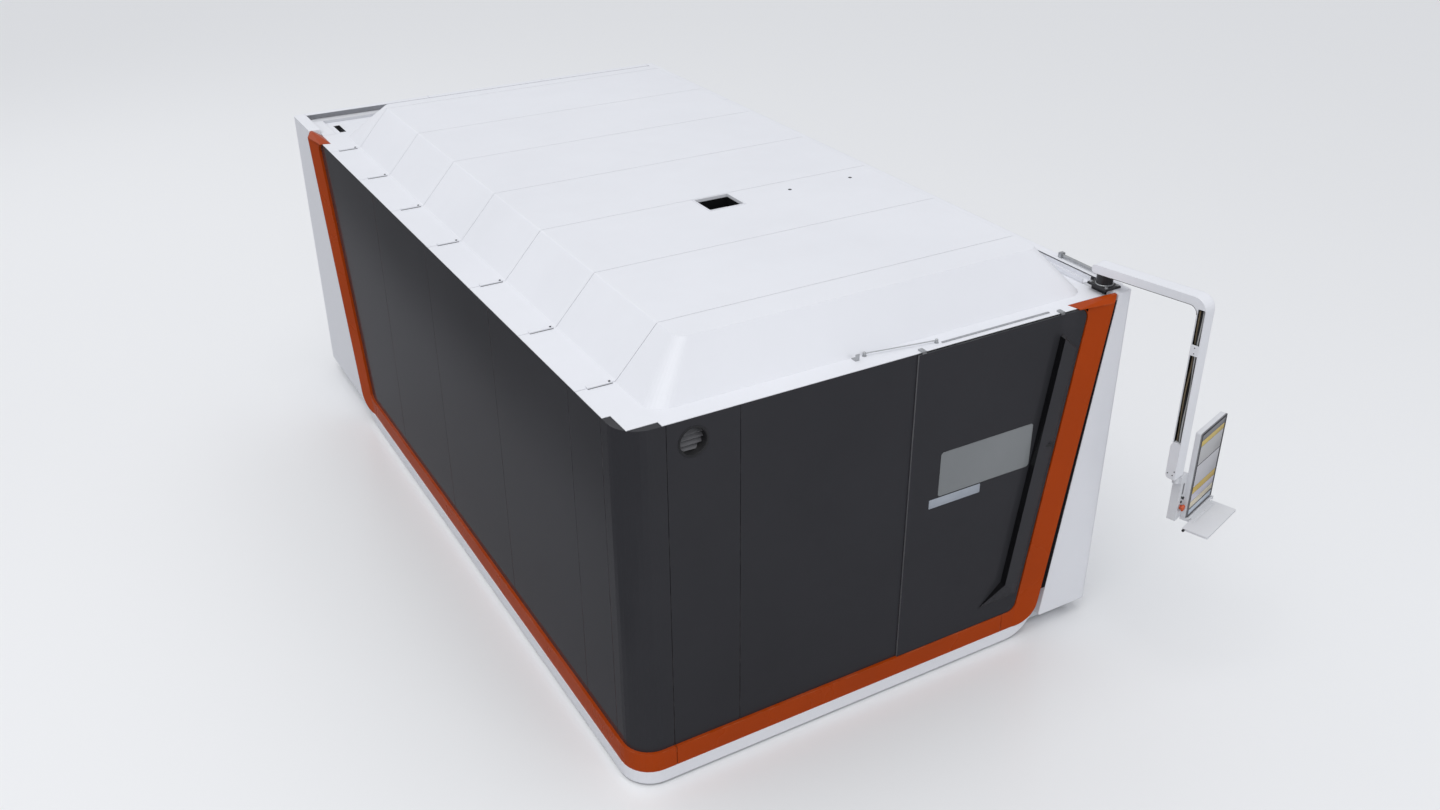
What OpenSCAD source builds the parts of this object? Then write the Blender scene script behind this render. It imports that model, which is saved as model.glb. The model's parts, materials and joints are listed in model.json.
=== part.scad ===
// Enclosed fiber laser cutting machine.
// A dark panelled enclosure with slanted orange trim, a white hood roof and white
// operator side, a swing arm with a touch console, and a gantry cutter inside.
// Lengths are in millimetres. The origin is at the middle of the base, on the floor:
// +X points to the operator side, +Y to the far end and +Z up.

/* [Enclosure] */
// Overall width of the enclosure, left wall to operator side
body_w = 3050; // [2800:10:3400]
// Overall length of the enclosure, near end to far end
body_l = 5620; // [5200:10:6200]
// Height of the dark walls above the floor
wall_h = 2100; // [2000:10:2300]
// Depth of a wall panel from its face to the frame
panel_d = 60; // [50:1:75]
// Sheet metal thickness of panels, trim and roof
sheet_t = 3; // [2:0.5:5]
// Gap between neighbouring panels at a seam
seam_gap = 3; // [1:0.5:6]
// Radius of the rounded near left corner
corner_r = 150; // [120:5:190]
// Width of the corner panel on each of its two faces
corner_w = 220; // [200:5:260]
// How far the white rim stands above the dark walls
rim_rise = 38; // [20:1:60]
// How far the white pillars stand out from the dark walls
pillar_proud = 25; // [22:1:45]
// Height of the white side's lower edge above the floor
white_gap = 100; // [60:5:150]

/* [Base and frame] */
// Height of the levelling feet
foot_h = 15; // [10:1:60]
// Height of the white plinth band
plinth_h = 76; // [50:1:110]
// Height of the orange band above the plinth
band_h = 119; // [90:1:150]
// How far the orange band stands out from the dark walls
band_proud = 18; // [17:1:24]
// Width of the square frame tubes
tube_w = 80; // [60:2:95]
// Wall thickness of the frame tubes
tube_t = 5; // [3:0.5:8]

/* [Slanted trim] */
// Width of the slanted orange strips
strip_w = 140; // [100:5:180]
// How far the outer edge of a strip stands out from the dark walls
strip_proud = 50; // [30:1:70]
// Dark groove between an orange strip and its white pillar
groove_w = 45; // [25:1:70]
// Width of the near white pillar at the top of the wall
near_pillar_w = 116; // [100:2:160]
// Width of the far white pillar at the top of the wall
far_pillar_w = 466; // [400:5:560]
// Inner corner radius between strip, band and roof
strip_inner_r = 60; // [30:2:90]
// Outer radius of the lower corner of a strip
strip_outer_r = 165; // [120:5:200]

/* [Panels] */
// Seam between the two fixed end panels, from the left wall
end_seam = 608; // [540:2:700]
// Left edge of the sliding end door, from the left wall
door_x = 1623; // [1540:2:1700]
// First wide seam of the long wall, from the near end
side_seam_first = 584; // [500:2:700]
// Last seam of the long wall, from the far end
side_seam_last = 1930; // [1800:5:2050]
// Radius of the round vent in the first end panel
vent_r = 74; // [50:1:90]
// Height of the vent above the floor
vent_z = 1977; // [1900:1:1990]

/* [Roof hood] */
// Rise of the hood's flat top above the walls
hood_rise = 252; // [180:2:320]
// Length of the near end cap of the roof
roof_near_l = 492; // [440:2:560]
// Distance of the last roof seam from the far end
roof_far_l = 946; // [900:2:1000]
// Width of the roof hatch
hatch_w = 229; // [150:1:320]
// Length of the roof hatch
hatch_l = 199; // [120:1:280]

/* [End door] */
// Thickness of the sliding end door
door_t = 9; // [8:0.5:14]
// Height of the door window's sill above the floor
window_sill = 1208; // [1100:2:1300]
// Height of the door window
window_h = 273; // [200:1:400]
// How far the pull stands out from the door
pull_proud = 40; // [20:1:50]

/* [Operator side] */
// Near edge of the operator door, from the near end
op_door_y = 1000; // [900:5:1200]
// Length of the operator door
op_door_l = 1500; // [1300:10:1600]
// Width of the cabinet door
cab_door_w = 800; // [700:5:900]
// Length of the white panel between the cabinet door and the far end
cab_far_l = 520; // [450:5:600]

/* [Swing arm] */
// Distance from the arm's pivot to its hanging tube
arm_reach = 590; // [540:5:640]
// Direction of the arm at rest, in degrees from +X
arm_angle = -77; // [-85:1:-69]
// Direction that the console faces at rest, in degrees from +X
console_angle = -72; // [-80:1:-64]
// Height of the arm's top above the white rim
arm_rise = 122; // [110:1:150]
// Height of the arm's tube
arm_t = 48; // [46:1:60]
// Width of the arm's tube
arm_w = 92; // [84:1:100]
// Height of the arm's lower end above the floor
arm_end_z = 1195; // [1150:5:1250]

/* [Console] */
// Width of the touch screen
screen_w = 306; // [260:1:330]
// Height of the touch screen
screen_h = 525; // [420:1:560]
// Width of the keyboard tray
tray_w = 380; // [360:1:400]
// Depth of the keyboard tray
tray_d = 146; // [110:1:160]

/* [Cutting mechanism] */
// Distance of the bed's side beams from the walls
bed_inset = 480; // [450:5:500]
// Width of a bed side beam
bed_beam_w = 200; // [160:5:220]
// Height of the bed's top above the floor
bed_z = 760; // [700:5:800]
// Near end of the bed, from the near end of the enclosure
bed_near = 1150; // [1130:5:1250]
// Distance between neighbouring support slats
slat_pitch = 150; // [100:5:250]
// Height of a support slat
slat_h = 100; // [70:1:120]
// Position of the gantry at rest, from the near end of the bed
gantry_park = 560; // [520:5:750]
// Height of the gantry beam's section
beam_h = 300; // [240:5:340]
// Depth of the gantry beam's section
beam_d = 260; // [200:5:300]
// Clearance between the nozzle and the slats at rest
nozzle_gap = 30; // [20:1:60]

/* [Hidden] */

$fn = 48;
// Segments in a rounded corner of an outline
arc_n = 8;
// Overrun of a cut past the faces that it goes through
over = 20;
// Running clearance between two moving bodies
run_gap = 0.3;
// Radial clearance of a hinge pin in its bore
pin_gap = 0.05;

dark = [0.05, 0.05, 0.06];
orange = [0.72, 0.25, 0.05];
white = [0.92, 0.93, 0.95];
steel = [0.55, 0.56, 0.58];
black = [0.02, 0.02, 0.02];
glass = [0.45, 0.5, 0.5, 0.6];

// Heights of the enclosure
plinth_top = foot_h + plinth_h;
band_top = plinth_top + band_h;
rim_h = wall_h + rim_rise;
roof_z = wall_h + sheet_t;
hood_z = roof_z + hood_rise;
// Planes of the inner frame
frame_x1 = body_w - panel_d;
frame_y1 = body_l - panel_d;
rail_x = panel_d + tube_w;
rail_x1 = frame_x1 - tube_w;
rail_y1 = frame_y1 - tube_w;
// The tubes stop short of the rounded corner
rail_start = corner_w - tube_w / 2;

// Slanted trim: the inner edge leans away from the near corner as it rises
end_slope_share = 0.1446;
side_slope_share = 0.258;
pillar_slope_share = 0.1337;
end_top = body_w - near_pillar_w - groove_w - strip_w;
side_top = body_l - far_pillar_w - groove_w - strip_w;
// Seam between a band and its slanted strip, back from the strip's inner edge
strip_seam_back = 1.6 * strip_inner_r;
// Raised head of a strip: its tip on the flange, its front end and its edge
horn_tip = [95, 56];
horn_in = 78;
horn_edge = 1;
// White lip that turns up round the lower corner of a strip
lip_w = 12;
lip_r = 1.25 * strip_outer_r;
lip_top = 2.6 * band_h;
lip_start = 2 * strip_outer_r;
plinth_t = 20;
plinth_proud = band_proud + 0.2 * plinth_t;
pillar_r = 40;
pillar_edge_r = 14;

// Long wall seams: a narrow panel, then equal wide ones, then the slanted one
side_wide_count = 3;
side_seam_far = body_l - side_seam_last;
side_pitch = (side_seam_far - side_seam_first) / side_wide_count;
vent_x = (corner_w + end_seam) / 2 - 0.75 * vent_r;
vent_lip = 6;
vent_lip_t = 2;
vent_wall = 4;
vent_blade_d = 26;
vent_blade_t = 3;
vent_blade_count = 5;

// Roof hood feet and flat top, as distances in from the enclosure's faces
foot_left = 210;
foot_near = 126;
foot_right = 194;
foot_far = 570;
top_left = 441;
top_near = 290;
top_right = 425;
top_far = 842;
foot_corner_r = 110;
top_corner_r = 60;
bend_r = 12;
fold_d = 25;
roof_lap = 15;
roof_end_l = 525;
roof_edge = rail_x1 + roof_lap;
roof_end = body_l - roof_end_l;
roof_count = 6;
hatch_panel = 1;
roof_pitch = (body_l - roof_far_l - roof_near_l) / roof_count;
notch_d = 42;
notch_l = 200;
tab_start = 60;
tab_l = 130;
tab_w = 24;
tab_h = 8;
hatch_x = 0.458 * body_w;
hatch_margin = 16;
hatch_depth = 80;
tray_pan_depth = 24;
tray_slot = [46, 190];
trunk_h = 30;

// End door
door_run = 2;
door_gap = 4;
door_lap = 30;
door_z0 = band_top + run_gap;
door_z1 = wall_h - door_gap;
door_front = -door_run - door_t;
window_left = 194;
window_right = 173;
window_r = 20;
window_t = 6;
window_in = 1;
door_border = 40;
pull_left = 168;
pull_right = 26;
pull_top = 126;
pull_bottom = 124;
pull_knee = 250;
pull_flare = 124;
pull_edge = 4;
pull_cap = 20;
pull_slope = 105;
shoe_w = 24;
shoe_t = 5;
shoe_reach = 28;
shoe_left = 20;
shoe_right = 175;
// Door hardware on the flange: the rail's far end from the strip, and the rod's two posts
closer_end = 245;
closer_y = 30;
closer_rail = [705, 12, 5];
closer_rod_r = 3;
closer_rod_x = 397;
closer_rod_y = [112, 50];
closer_post_r = 8;
closer_post_h = 20;
closer_bracket = [24, 36, 36];
closer_bracket_gap = 48;

// Operator side
op_run = 2;
op_door_t = 28;
op_lap = 40;
op_z0 = white_gap + 30;
op_z1 = wall_h - 40;
op_window_margin = 260;
op_window_sill = 1050;
op_window_h = 620;
op_recess = [60, 420, 16];
op_rail_d = 44;
op_rail_h = 46;
op_travel = 1250;
cab_y1 = body_l - cab_far_l;
cab_y0 = cab_y1 - cab_door_w;
cab_depth = 385;
cab_wall = 4;
cab_top = 1990;
hinge_r = 8;
hinge_pin_r = 4;
hinge_knuckle = 40;
hinge_leaf = 30;
hinge_z_shares = [0.12, 0.5, 0.88];
latch = [18, 26, 160];
source_size = [300, 560, 680];
source_slots = 6;

// Equipment bay behind the end panels
bay_l = 1060;
bay_x = door_x - tube_w / 2;
chiller_size = [820, 760, 1500];
chiller_x = 0.5 * (rail_x + bay_x) - chiller_size[0] / 2;
chiller_y = 230;
skid_w = 60;
skid_h = 40;
fan_r = 150;
fan_depth = 30;
grille_slots = 9;
cross_bay_y = 220;

// Swing arm and its pivot
pivot = [body_w - 105, 95];
arm_plate = [108, 140, 12];
pedestal_in = 17;
drum_r = 45;
pivot_pin_r = 20;
pivot_pin_h = 40;
arm_tail = 60;
arm_outer_r = 75;
arm_inner_r = 45;
arm_tail_r = 20;
arm_top = rim_h + arm_rise;
// Closed lower end of the arm: how far it stands out, its height and radii
arm_foot = [8, 200];
arm_foot_r = 3;
arm_end_r = 25;
channel_wall = 4;
channel_end = 12;
channel_r = 6;
cable_r = 5;
cable_in = 16;
cable_pitch = 13;
cable_step_share = 0.15;
cable_gap = 1.25;
channel_half = cable_pitch + cable_r * (1 + cable_step_share) + cable_gap;
clip_h = 60;
clip_t = 6;
clip_drop = 271;
stay_r = 9;
stay_y0 = 185;
stay_y1 = 500;
stay_in = 24;
stay_lug = [30, 24, 30];

// Console, in the arm's own directions about the hanging tube
hub_side = 22;
hub_r = 18;
hub_h = 50;
strip_front = 32;
strip_back = -16;
strip_left = 9.5;
strip_right = 91.5;
strip_top_gap = 8;
strip_r = 30;
console_drop = 298;
console_z = arm_end_z - console_drop;
screen_left = 89.5;
screen_t = 6;
shell_t = 30;
shell_border = 8;
stop_z = console_z + 78;
stop_r = 20;
stop_stem_r = 12;
start_z = console_z + 140;
start_r = 9;
start_stem_r = 6;
button_y = 49.5;
button_stand = 12;
button_depth = 16;
button_bore = 20;
tray_t = 12;
tray_left = 20.5;
tray_axis = [75, console_z - 7];
tray_barrel_r = 8;
tray_pin_r = 5;
lug_t = 10;
tray_start = 17;
tray_groove = [14, 260, 3];

// Cutting mechanism
bed_end_l = 270;
bed_far = body_l - bed_end_l;
bed_wall = 12;
gantry_y = bed_near + gantry_park;
guide = [35, 25];
guide_end = 20;
rack_w = 24;
ledger_t = 20;
ledger_h = 160;
slat_t = 4;
slat_top = bed_z - 20;
slat_teeth = 15;
slat_tooth_h = 18;
table_near = 80;
table_l = 3050;
carriage_l = 420;
carriage_h = 65;
saddle_lip = 10;
beam_chamfer = 60;
motor = [120, 150, 170];
x_rail = 25;
x_rail_z_shares = [0.17, 0.83];
head_plate = [280, 40];
head_rise = 20;
z_rail = [20, 15];
z_rail_x = 60;
slide_plate = [170, 30];
head_r = 45;
head_tip_r = 14;
head_cone_h = 80;
nozzle_r = 5;
nozzle_h = 30;
cover_r = 90;
cover_margin = 120;
cover_ribs = 9;
cover_rib_h = 6;

// Unit vector, and the turn direction at a corner: +1 to the left
function unit(v) = v / norm(v);
function right_of(v) = [v[1], -v[0]];
function turn(a, b, c) = sign((b[0] - a[0]) * (c[1] - b[1]) - (b[1] - a[1]) * (c[0] - b[0]));
function flip(list) = [for (i = [len(list) - 1:-1:0]) list[i]];

// Points of a corner at b, between a and c, rounded to radius r
function corner_pts(a, b, c, r) =
  let (ua = unit(a - b), uc = unit(c - b), half = acos(ua * uc) / 2)
  let (m = b + unit(ua + uc) * r / sin(half))
  let (s = b + ua * r / tan(half) - m, e = b + uc * r / tan(half) - m)
  let (a0 = atan2(s[1], s[0]), d = atan2(e[1], e[0]) - a0)
  let (sweep = d > 180 ? d - 360 : d < -180 ? d + 360 : d)
  [for (i = [0:arc_n]) m + r * [cos(a0 + sweep * i / arc_n), sin(a0 + sweep * i / arc_n)]];

// Closed outline with a radius at each corner, none where it is zero
function round_pts(p, r) = let (n = len(p))
  [for (i = [0:n - 1]) each r[i] > 0
    ? corner_pts(p[(i + n - 1) % n], p[i], p[(i + 1) % n], r[i]) : [p[i]]];

// Open path with a radius at each inner corner
function round_path(p, r) = let (n = len(p))
  [for (i = [0:n - 1]) each i > 0 && i < n - 1 && r[i] > 0
    ? corner_pts(p[i - 1], p[i], p[i + 1], r[i]) : [p[i]]];

// The same path moved to its right by t
function shift_path(p, t) = let (n = len(p))
  [for (i = [0:n - 1])
    let (na = right_of(unit(p[max(i, 1)] - p[max(i, 1) - 1])))
    let (nb = right_of(unit(p[min(i, n - 2) + 1] - p[min(i, n - 2)])))
    p[i] + (na + nb) / (1 + na * nb) * t];

// Section of a sheet bent along a path, with its thickness on the path's right
module bent_sheet(p, r, t) {
  n = len(p);
  inner_r = [for (i = [0:n - 1]) i > 0 && i < n - 1 ? r[i] + t * turn(p[i - 1], p[i], p[i + 1]) : 0];
  polygon(concat(round_path(p, r), flip(round_path(shift_path(p, t), inner_r))));
}

// Rectangle from corner to corner with rounded corners
module round_rect(lo, hi, r) {
  polygon(round_pts([lo, [hi[0], lo[1]], hi, [lo[0], hi[1]]], [r, r, r, r]));
}

// Moves the near left corner of the enclosure from the origin to its place
module place() {
  translate([-body_w / 2, -body_l / 2, 0]) children();
}

// Stands an outline of (distance along the end face, height) up, from depth d0 to d1
module on_end(d0, d1) {
  translate([0, d1, 0]) rotate([90, 0, 0]) linear_extrude(d1 - d0) children();
}

// Turns a piece made for the end face round to the long face
module on_side() {
  mirror([1, -1, 0]) children();
}

// Folded panel w by d by h, with its face on the near side and open at the back
module cassette(w, d, h) {
  difference() {
    cube([w, d, h]);
    translate([sheet_t, sheet_t, sheet_t])
      cube([w - 2 * sheet_t, d, h - 2 * sheet_t]);
  }
}

// Square tube along X, Y or Z inside a box
module tube(pos, size, axis) {
  wall = [for (i = [0:2]) i == axis ? -over : tube_t];
  translate(pos) difference() {
    cube(size);
    translate(wall) cube(size - 2 * wall);
  }
}

// Distance of a slanted edge along its face at height z
function edge_u(z, top, slope) = top - (wall_h - z) * slope;

// Outline that a slanted strip closes off, from its band up to the roof
function field_pts(u0, top, slope, z0, r) = round_pts(
  [[u0, z0], [edge_u(z0, top, slope), z0], [top, wall_h], [u0, wall_h]], [0, r, r, 0]);

// Outline of the wall with its strip, rounded at the lower far corner
function outer_pts(u0, top, slope, out, z0, r) = round_pts(
  [[u0, z0], [edge_u(z0, top, slope) + out, z0], [top + out, wall_h], [u0, wall_h]], [0, r, 0, 0]);

// Place of the seam between a band and its strip
function strip_seam(top, slope) = edge_u(band_top, top, slope) - strip_seam_back;

// Outline of a slanted strip with the lower corner, drawn in by inset
module strip_outline(top, slope, inset) {
  u0 = strip_seam(top, slope) + seam_gap / 2 + inset;
  intersection() {
    difference() {
      polygon(outer_pts(0, top, slope, strip_w - inset, plinth_top + inset, strip_outer_r - inset));
      polygon(field_pts(-over, top + inset, slope, band_top - inset, strip_inner_r));
    }
    translate([u0, 0]) square([body_l, wall_h - inset]);
  }
}

// Half space in front of a plane through a slanted edge, tilted by proud over width
module tilt_cut(top, slope, depth, proud, width) {
  lean = atan(slope);
  translate([top, depth, wall_h]) rotate([0, lean, 0])
    rotate([0, 0, -atan(proud / (width * cos(lean)))])
      translate([-body_l, -body_l, -body_l]) cube([2 * body_l, body_l, 2 * body_l]);
}

// Raised head of a slanted strip, that lies on the roof's flange and points inward
module strip_head(top) {
  u1 = top + strip_w;
  back = [[top - horn_tip[0], horn_tip[1]], [u1 - over, horn_tip[1]]];
  hull() {
    translate([0, 0, roof_z]) linear_extrude(horn_edge)
      polygon(concat([[top - horn_in, -band_proud], [u1, -strip_proud], [u1, -band_proud]], flip(back)));
    translate([u1, -band_proud, roof_z]) cube([groove_w - seam_gap, band_proud, rim_h - roof_z - seam_gap]);
  }
  translate([0, 0, wall_h - horn_edge]) linear_extrude(roof_z - wall_h + 2 * horn_edge)
    polygon([[top - horn_in, -band_proud], [u1, -strip_proud], [u1, -seam_gap], [top - horn_in, -seam_gap]]);
}

// Slanted strip: flush with its band at the inner edge, standing out at the outer one
module slanted_strip(top, slope) {
  strip_head(top);
  rise = strip_proud - band_proud;
  difference() {
    union() {
      on_end(-band_proud, panel_d) strip_outline(top, slope, 0);
      difference() {
        on_end(-strip_proud, panel_d) strip_outline(top, slope, 0);
        tilt_cut(top, slope, -band_proud, rise, strip_w);
      }
    }
    on_end(sheet_t - band_proud, panel_d + over) strip_outline(top, slope, sheet_t);
  }
}

// White lip round the lower corner of a strip, as thin as lip_w up the side
module plinth_lip(top, slope) {
  u0 = edge_u(plinth_top, top, slope) + strip_w - lip_start;
  on_end(-plinth_proud, plinth_t - plinth_proud) intersection() {
    difference() {
      polygon(outer_pts(0, top, slope, strip_w + lip_w, foot_h, lip_r));
      polygon(outer_pts(-over, top, slope, strip_w, plinth_top, strip_outer_r));
    }
    translate([u0, 0]) square([body_l, lip_top]);
  }
}

// White pillar on a face, from its slanted edge to the end of the face
module pillar(top, slope, face_l) {
  function pillar_u(z) = edge_u(z, top, slope);
  module skin(inset) {
    lo = white_gap + inset;
    hi = rim_h - inset;
    end = face_l - inset;
    outline = round_pts([[pillar_u(lo) + inset, lo], [end, lo], [end, hi], [pillar_u(hi) + inset, hi]],
      [pillar_edge_r, pillar_edge_r, pillar_edge_r, pillar_edge_r]);
    plan = round_pts([[0, inset - pillar_proud], [end, inset - pillar_proud], [end, panel_d + inset],
      [0, panel_d + inset]], [0, pillar_r - inset, 0, 0]);
    intersection() {
      on_end(-pillar_proud, panel_d + inset) polygon(outline);
      linear_extrude(rim_h) polygon(plan);
    }
  }
  difference() {
    skin(0);
    skin(sheet_t);
  }
}

// Feet under the base tubes, one of them at the origin
module levelling_feet() {
  pad_r = 0.55 * tube_w;
  stem_r = 0.15 * tube_w;
  rows = [corner_w + tube_w, body_l / 2, rail_y1];
  columns = [rail_x - tube_w / 2, frame_x1 - tube_w / 2];
  spots = concat([[body_w / 2, body_l / 2]], [for (x = columns, y = rows) [x, y]]);
  color(black) place() for (p = spots) translate(p) {
    cylinder(r = pad_r, h = foot_h / 2);
    cylinder(r = stem_r, h = foot_h);
  }
}

// Base tubes: two long rails and the beams between them
module base_frame() {
  h = band_top - foot_h;
  beams = [cross_bay_y, bay_l - tube_w, body_l / 2 - tube_w / 2, 0.73 * body_l, rail_y1];
  color(white) place() {
    tube([panel_d, rail_start, foot_h], [tube_w, frame_y1 - rail_start, h], 1);
    tube([rail_x1, panel_d, foot_h], [tube_w, frame_y1 - panel_d, h], 1);
    tube([rail_start, panel_d, foot_h], [rail_x1 - rail_start, tube_w, h], 0);
    for (y = beams)
      tube([rail_x, y, foot_h], [rail_x1 - rail_x, tube_w, h], 0);
  }
}

// Upright tubes behind the panel seams
module wall_posts() {
  z0 = band_top;
  h = wall_h - tube_w - z0;
  left = concat([corner_w], [for (i = [0:side_wide_count]) side_seam_first + i * side_pitch],
    [rail_y1 + tube_w / 2]);
  near = [corner_w, end_seam, door_x, edge_u(band_top, end_top, end_slope_share) + 0.8 * tube_w,
    frame_x1 - tube_w / 2];
  right = [op_door_y, op_door_y + op_door_l, cab_y0, cab_y1, rail_y1 + tube_w / 2];
  far = [body_w / 3, 2 * body_w / 3];
  color(white) place() {
    for (y = left)
      tube([panel_d, y - tube_w / 2, z0], [tube_w, tube_w, h], 2);
    for (x = near)
      tube([x - tube_w / 2, panel_d, z0], [tube_w, tube_w, h], 2);
    for (y = right)
      tube([rail_x1, y - tube_w / 2, z0], [tube_w, tube_w, h], 2);
    for (x = far)
      tube([x - tube_w / 2, rail_y1, z0], [tube_w, tube_w, h], 2);
  }
}

// Tubes along the top of the four walls
module top_rails() {
  z = wall_h - tube_w;
  color(white) place() {
    tube([panel_d, rail_start, z], [tube_w, frame_y1 - rail_start, tube_w], 1);
    tube([rail_x1, panel_d, z], [tube_w, frame_y1 - panel_d, tube_w], 1);
    tube([rail_start, panel_d, z], [rail_x1 - rail_start, tube_w, tube_w], 0);
    tube([rail_x, rail_y1, z], [rail_x1 - rail_x, tube_w, tube_w], 0);
  }
}

// White band at the foot of the two dark walls, turned up at both ends
module plinth() {
  end_x = edge_u(plinth_top, end_top, end_slope_share) + strip_w - lip_start;
  end_y = edge_u(plinth_top, side_top, side_slope_share) + strip_w - lip_start;
  path = [[-plinth_proud, end_y], [-plinth_proud, -plinth_proud], [end_x, -plinth_proud]];
  color(white) place() {
    translate([0, 0, foot_h]) linear_extrude(plinth_h)
      bent_sheet(flip(path), [0, corner_r + plinth_proud, 0], plinth_t);
    plinth_lip(end_top, end_slope_share);
    on_side() plinth_lip(side_top, side_slope_share);
  }
}

// Folded channel along a path in plan, from the plinth to the top of the band
module band_channel(path, r) {
  translate([0, 0, plinth_top]) linear_extrude(band_h) bent_sheet(path, r, sheet_t);
  for (z = [plinth_top, band_top - sheet_t])
    translate([0, 0, z]) linear_extrude(sheet_t) bent_sheet(path, r, panel_d + band_proud);
}

// Orange band of the long wall, with the rounded corner
module side_band() {
  y1 = strip_seam(side_top, side_slope_share) - seam_gap / 2;
  path = [[corner_w, -band_proud], [-band_proud, -band_proud], [-band_proud, y1]];
  color(orange) place() band_channel(path, [0, corner_r + band_proud, 0]);
}

// Orange band of the near end
module end_band() {
  x1 = strip_seam(end_top, end_slope_share) - seam_gap / 2;
  path = [[x1, -band_proud], [corner_w + seam_gap, -band_proud]];
  color(orange) place() band_channel(path, [0, 0]);
}

module side_strip() {
  color(orange) place() on_side() slanted_strip(side_top, side_slope_share);
}

module end_strip() {
  color(orange) place() slanted_strip(end_top, end_slope_share);
}

// Dark panel that rounds the near left corner, closed above and below
module corner_panel() {
  end = corner_w - seam_gap / 2;
  path = [[end, 0], [0, 0], [0, end]];
  r = [0, corner_r, 0];
  h = wall_h - band_top;
  color(dark) place() translate([0, 0, band_top]) {
    linear_extrude(h) bent_sheet(path, r, sheet_t);
    for (z = [0, h - sheet_t])
      translate([0, 0, z]) linear_extrude(sheet_t) bent_sheet(path, r, panel_d - sheet_t);
    translate([end - sheet_t, 0, 0]) cube([sheet_t, panel_d, h]);
    translate([0, end - sheet_t, 0]) cube([panel_d, sheet_t, h]);
  }
}

// Straight dark panel of the long wall, between two seams
module side_panel(y0, y1) {
  color(dark) place() on_side() translate([y0 + seam_gap / 2, 0, band_top])
    cassette(y1 - y0 - seam_gap, panel_d, wall_h - band_top);
}

module side_panel_1() {
  side_panel(corner_w, side_seam_first);
}

// Wide panels, numbered from the near end
module side_panel_wide(i) {
  y0 = side_seam_first + i * side_pitch;
  side_panel(y0, y0 + side_pitch);
}

// Last dark panel of the long wall, with the slanted far edge
module side_panel_5() {
  module skin(inset) {
    polygon(round_pts([[side_seam_far + seam_gap / 2 + inset, band_top + inset],
      [edge_u(band_top, side_top, side_slope_share) - inset, band_top + inset],
      [side_top - inset, wall_h - inset], [side_seam_far + seam_gap / 2 + inset, wall_h - inset]],
      [0, strip_inner_r, strip_inner_r, 0]));
  }
  color(dark) place() on_side() difference() {
    on_end(0, panel_d) skin(0);
    on_end(sheet_t, panel_d + over) skin(sheet_t);
  }
}

// End panel with the round vent
module end_panel_1() {
  color(dark) place() difference() {
    translate([corner_w + seam_gap / 2, 0, band_top])
      cassette(end_seam - corner_w - seam_gap, panel_d, wall_h - band_top);
    translate([vent_x, panel_d, vent_z]) rotate([90, 0, 0]) cylinder(r = vent_r, h = 2 * panel_d);
  }
}

// End panel that runs on behind the closed door's edge
module end_panel_2() {
  color(dark) place() translate([end_seam + seam_gap / 2, 0, band_top])
    cassette(door_x + door_lap - end_seam - seam_gap / 2, panel_d, wall_h - band_top);
}

// Sleeve through the round vent, with slanted blades well inside it
module vent_grille() {
  inner_r = vent_r - vent_wall;
  pitch = 2 * inner_r / vent_blade_count;
  color(black) place() translate([vent_x, 0, vent_z]) rotate([90, 0, 0]) {
    difference() {
      union() {
        cylinder(r = vent_r + vent_lip, h = vent_lip_t);
        translate([0, 0, -panel_d]) cylinder(r = vent_r, h = panel_d);
      }
      translate([0, 0, -2 * panel_d]) cylinder(r = inner_r, h = 3 * panel_d);
    }
    intersection() {
      translate([0, 0, -panel_d]) cylinder(r = vent_r - vent_wall / 2, h = panel_d);
      for (i = [0:vent_blade_count - 1])
        translate([0, (i + 0.5) * pitch - inner_r, vent_blade_d / 2 - panel_d]) rotate([35, 0, 0])
          cube([2 * vent_r, vent_blade_t, vent_blade_d], center = true);
    }
  }
}

module near_pillar() {
  color(white) place() pillar(body_w - near_pillar_w, pillar_slope_share, body_w);
}

module far_pillar() {
  color(white) place() on_side() pillar(body_l - far_pillar_w, side_slope_share, body_l);
}

// White panels of the far end
module far_panels() {
  count = 3;
  pitch = (frame_x1 - panel_d) / count;
  color(white) place() for (i = [0:count - 1])
    translate([panel_d + (i + 1) * pitch - seam_gap / 2, body_l, white_gap]) rotate([0, 0, 180])
      cassette(pitch - seam_gap, panel_d, rim_h - white_gap);
}

// Hinge half on the outer face: a leaf and a knuckle with its centre on the hinge line
module hinge_half(z, side, bored) {
  translate([body_w + hinge_r, cab_y1, z]) difference() {
    union() {
      cylinder(r = hinge_r, h = hinge_knuckle);
      translate([-hinge_r, side > 0 ? 0 : -hinge_leaf, 0]) cube([sheet_t, hinge_leaf, hinge_knuckle]);
    }
    if (bored) translate([0, 0, -over])
      cylinder(r = hinge_pin_r + pin_gap, h = hinge_knuckle + 2 * over);
  }
}

// Heights of the lower ends of the cabinet hinges
function hinge_z(share) = white_gap + share * (rim_h - white_gap) - hinge_knuckle;

// Fixed white panels round the operator doorway, with the lower hinge halves
module right_panels() {
  h = rim_h - white_gap;
  y0 = op_door_y + op_lap;
  y1 = op_door_y + op_door_l - op_lap;
  module wall(from, to, z, wall_h) {
    translate([body_w, from, z]) rotate([0, 0, 90]) cassette(to - from, panel_d, wall_h);
  }
  color(white) place() {
    wall(panel_d, y0, white_gap, h);
    wall(y1, cab_y0 - seam_gap / 2, white_gap, h);
    wall(y0, y1, white_gap, band_top - white_gap);
    wall(y0, y1, op_z1 - op_lap, rim_h - op_z1 + op_lap);
    wall(cab_y1 + seam_gap / 2, body_l, white_gap, h);
    for (s = hinge_z_shares) {
      hinge_half(hinge_z(s), 1, false);
      translate([body_w + hinge_r, cab_y1, hinge_z(s)])
        cylinder(r = hinge_pin_r, h = 1.8 * hinge_knuckle);
    }
  }
}

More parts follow.
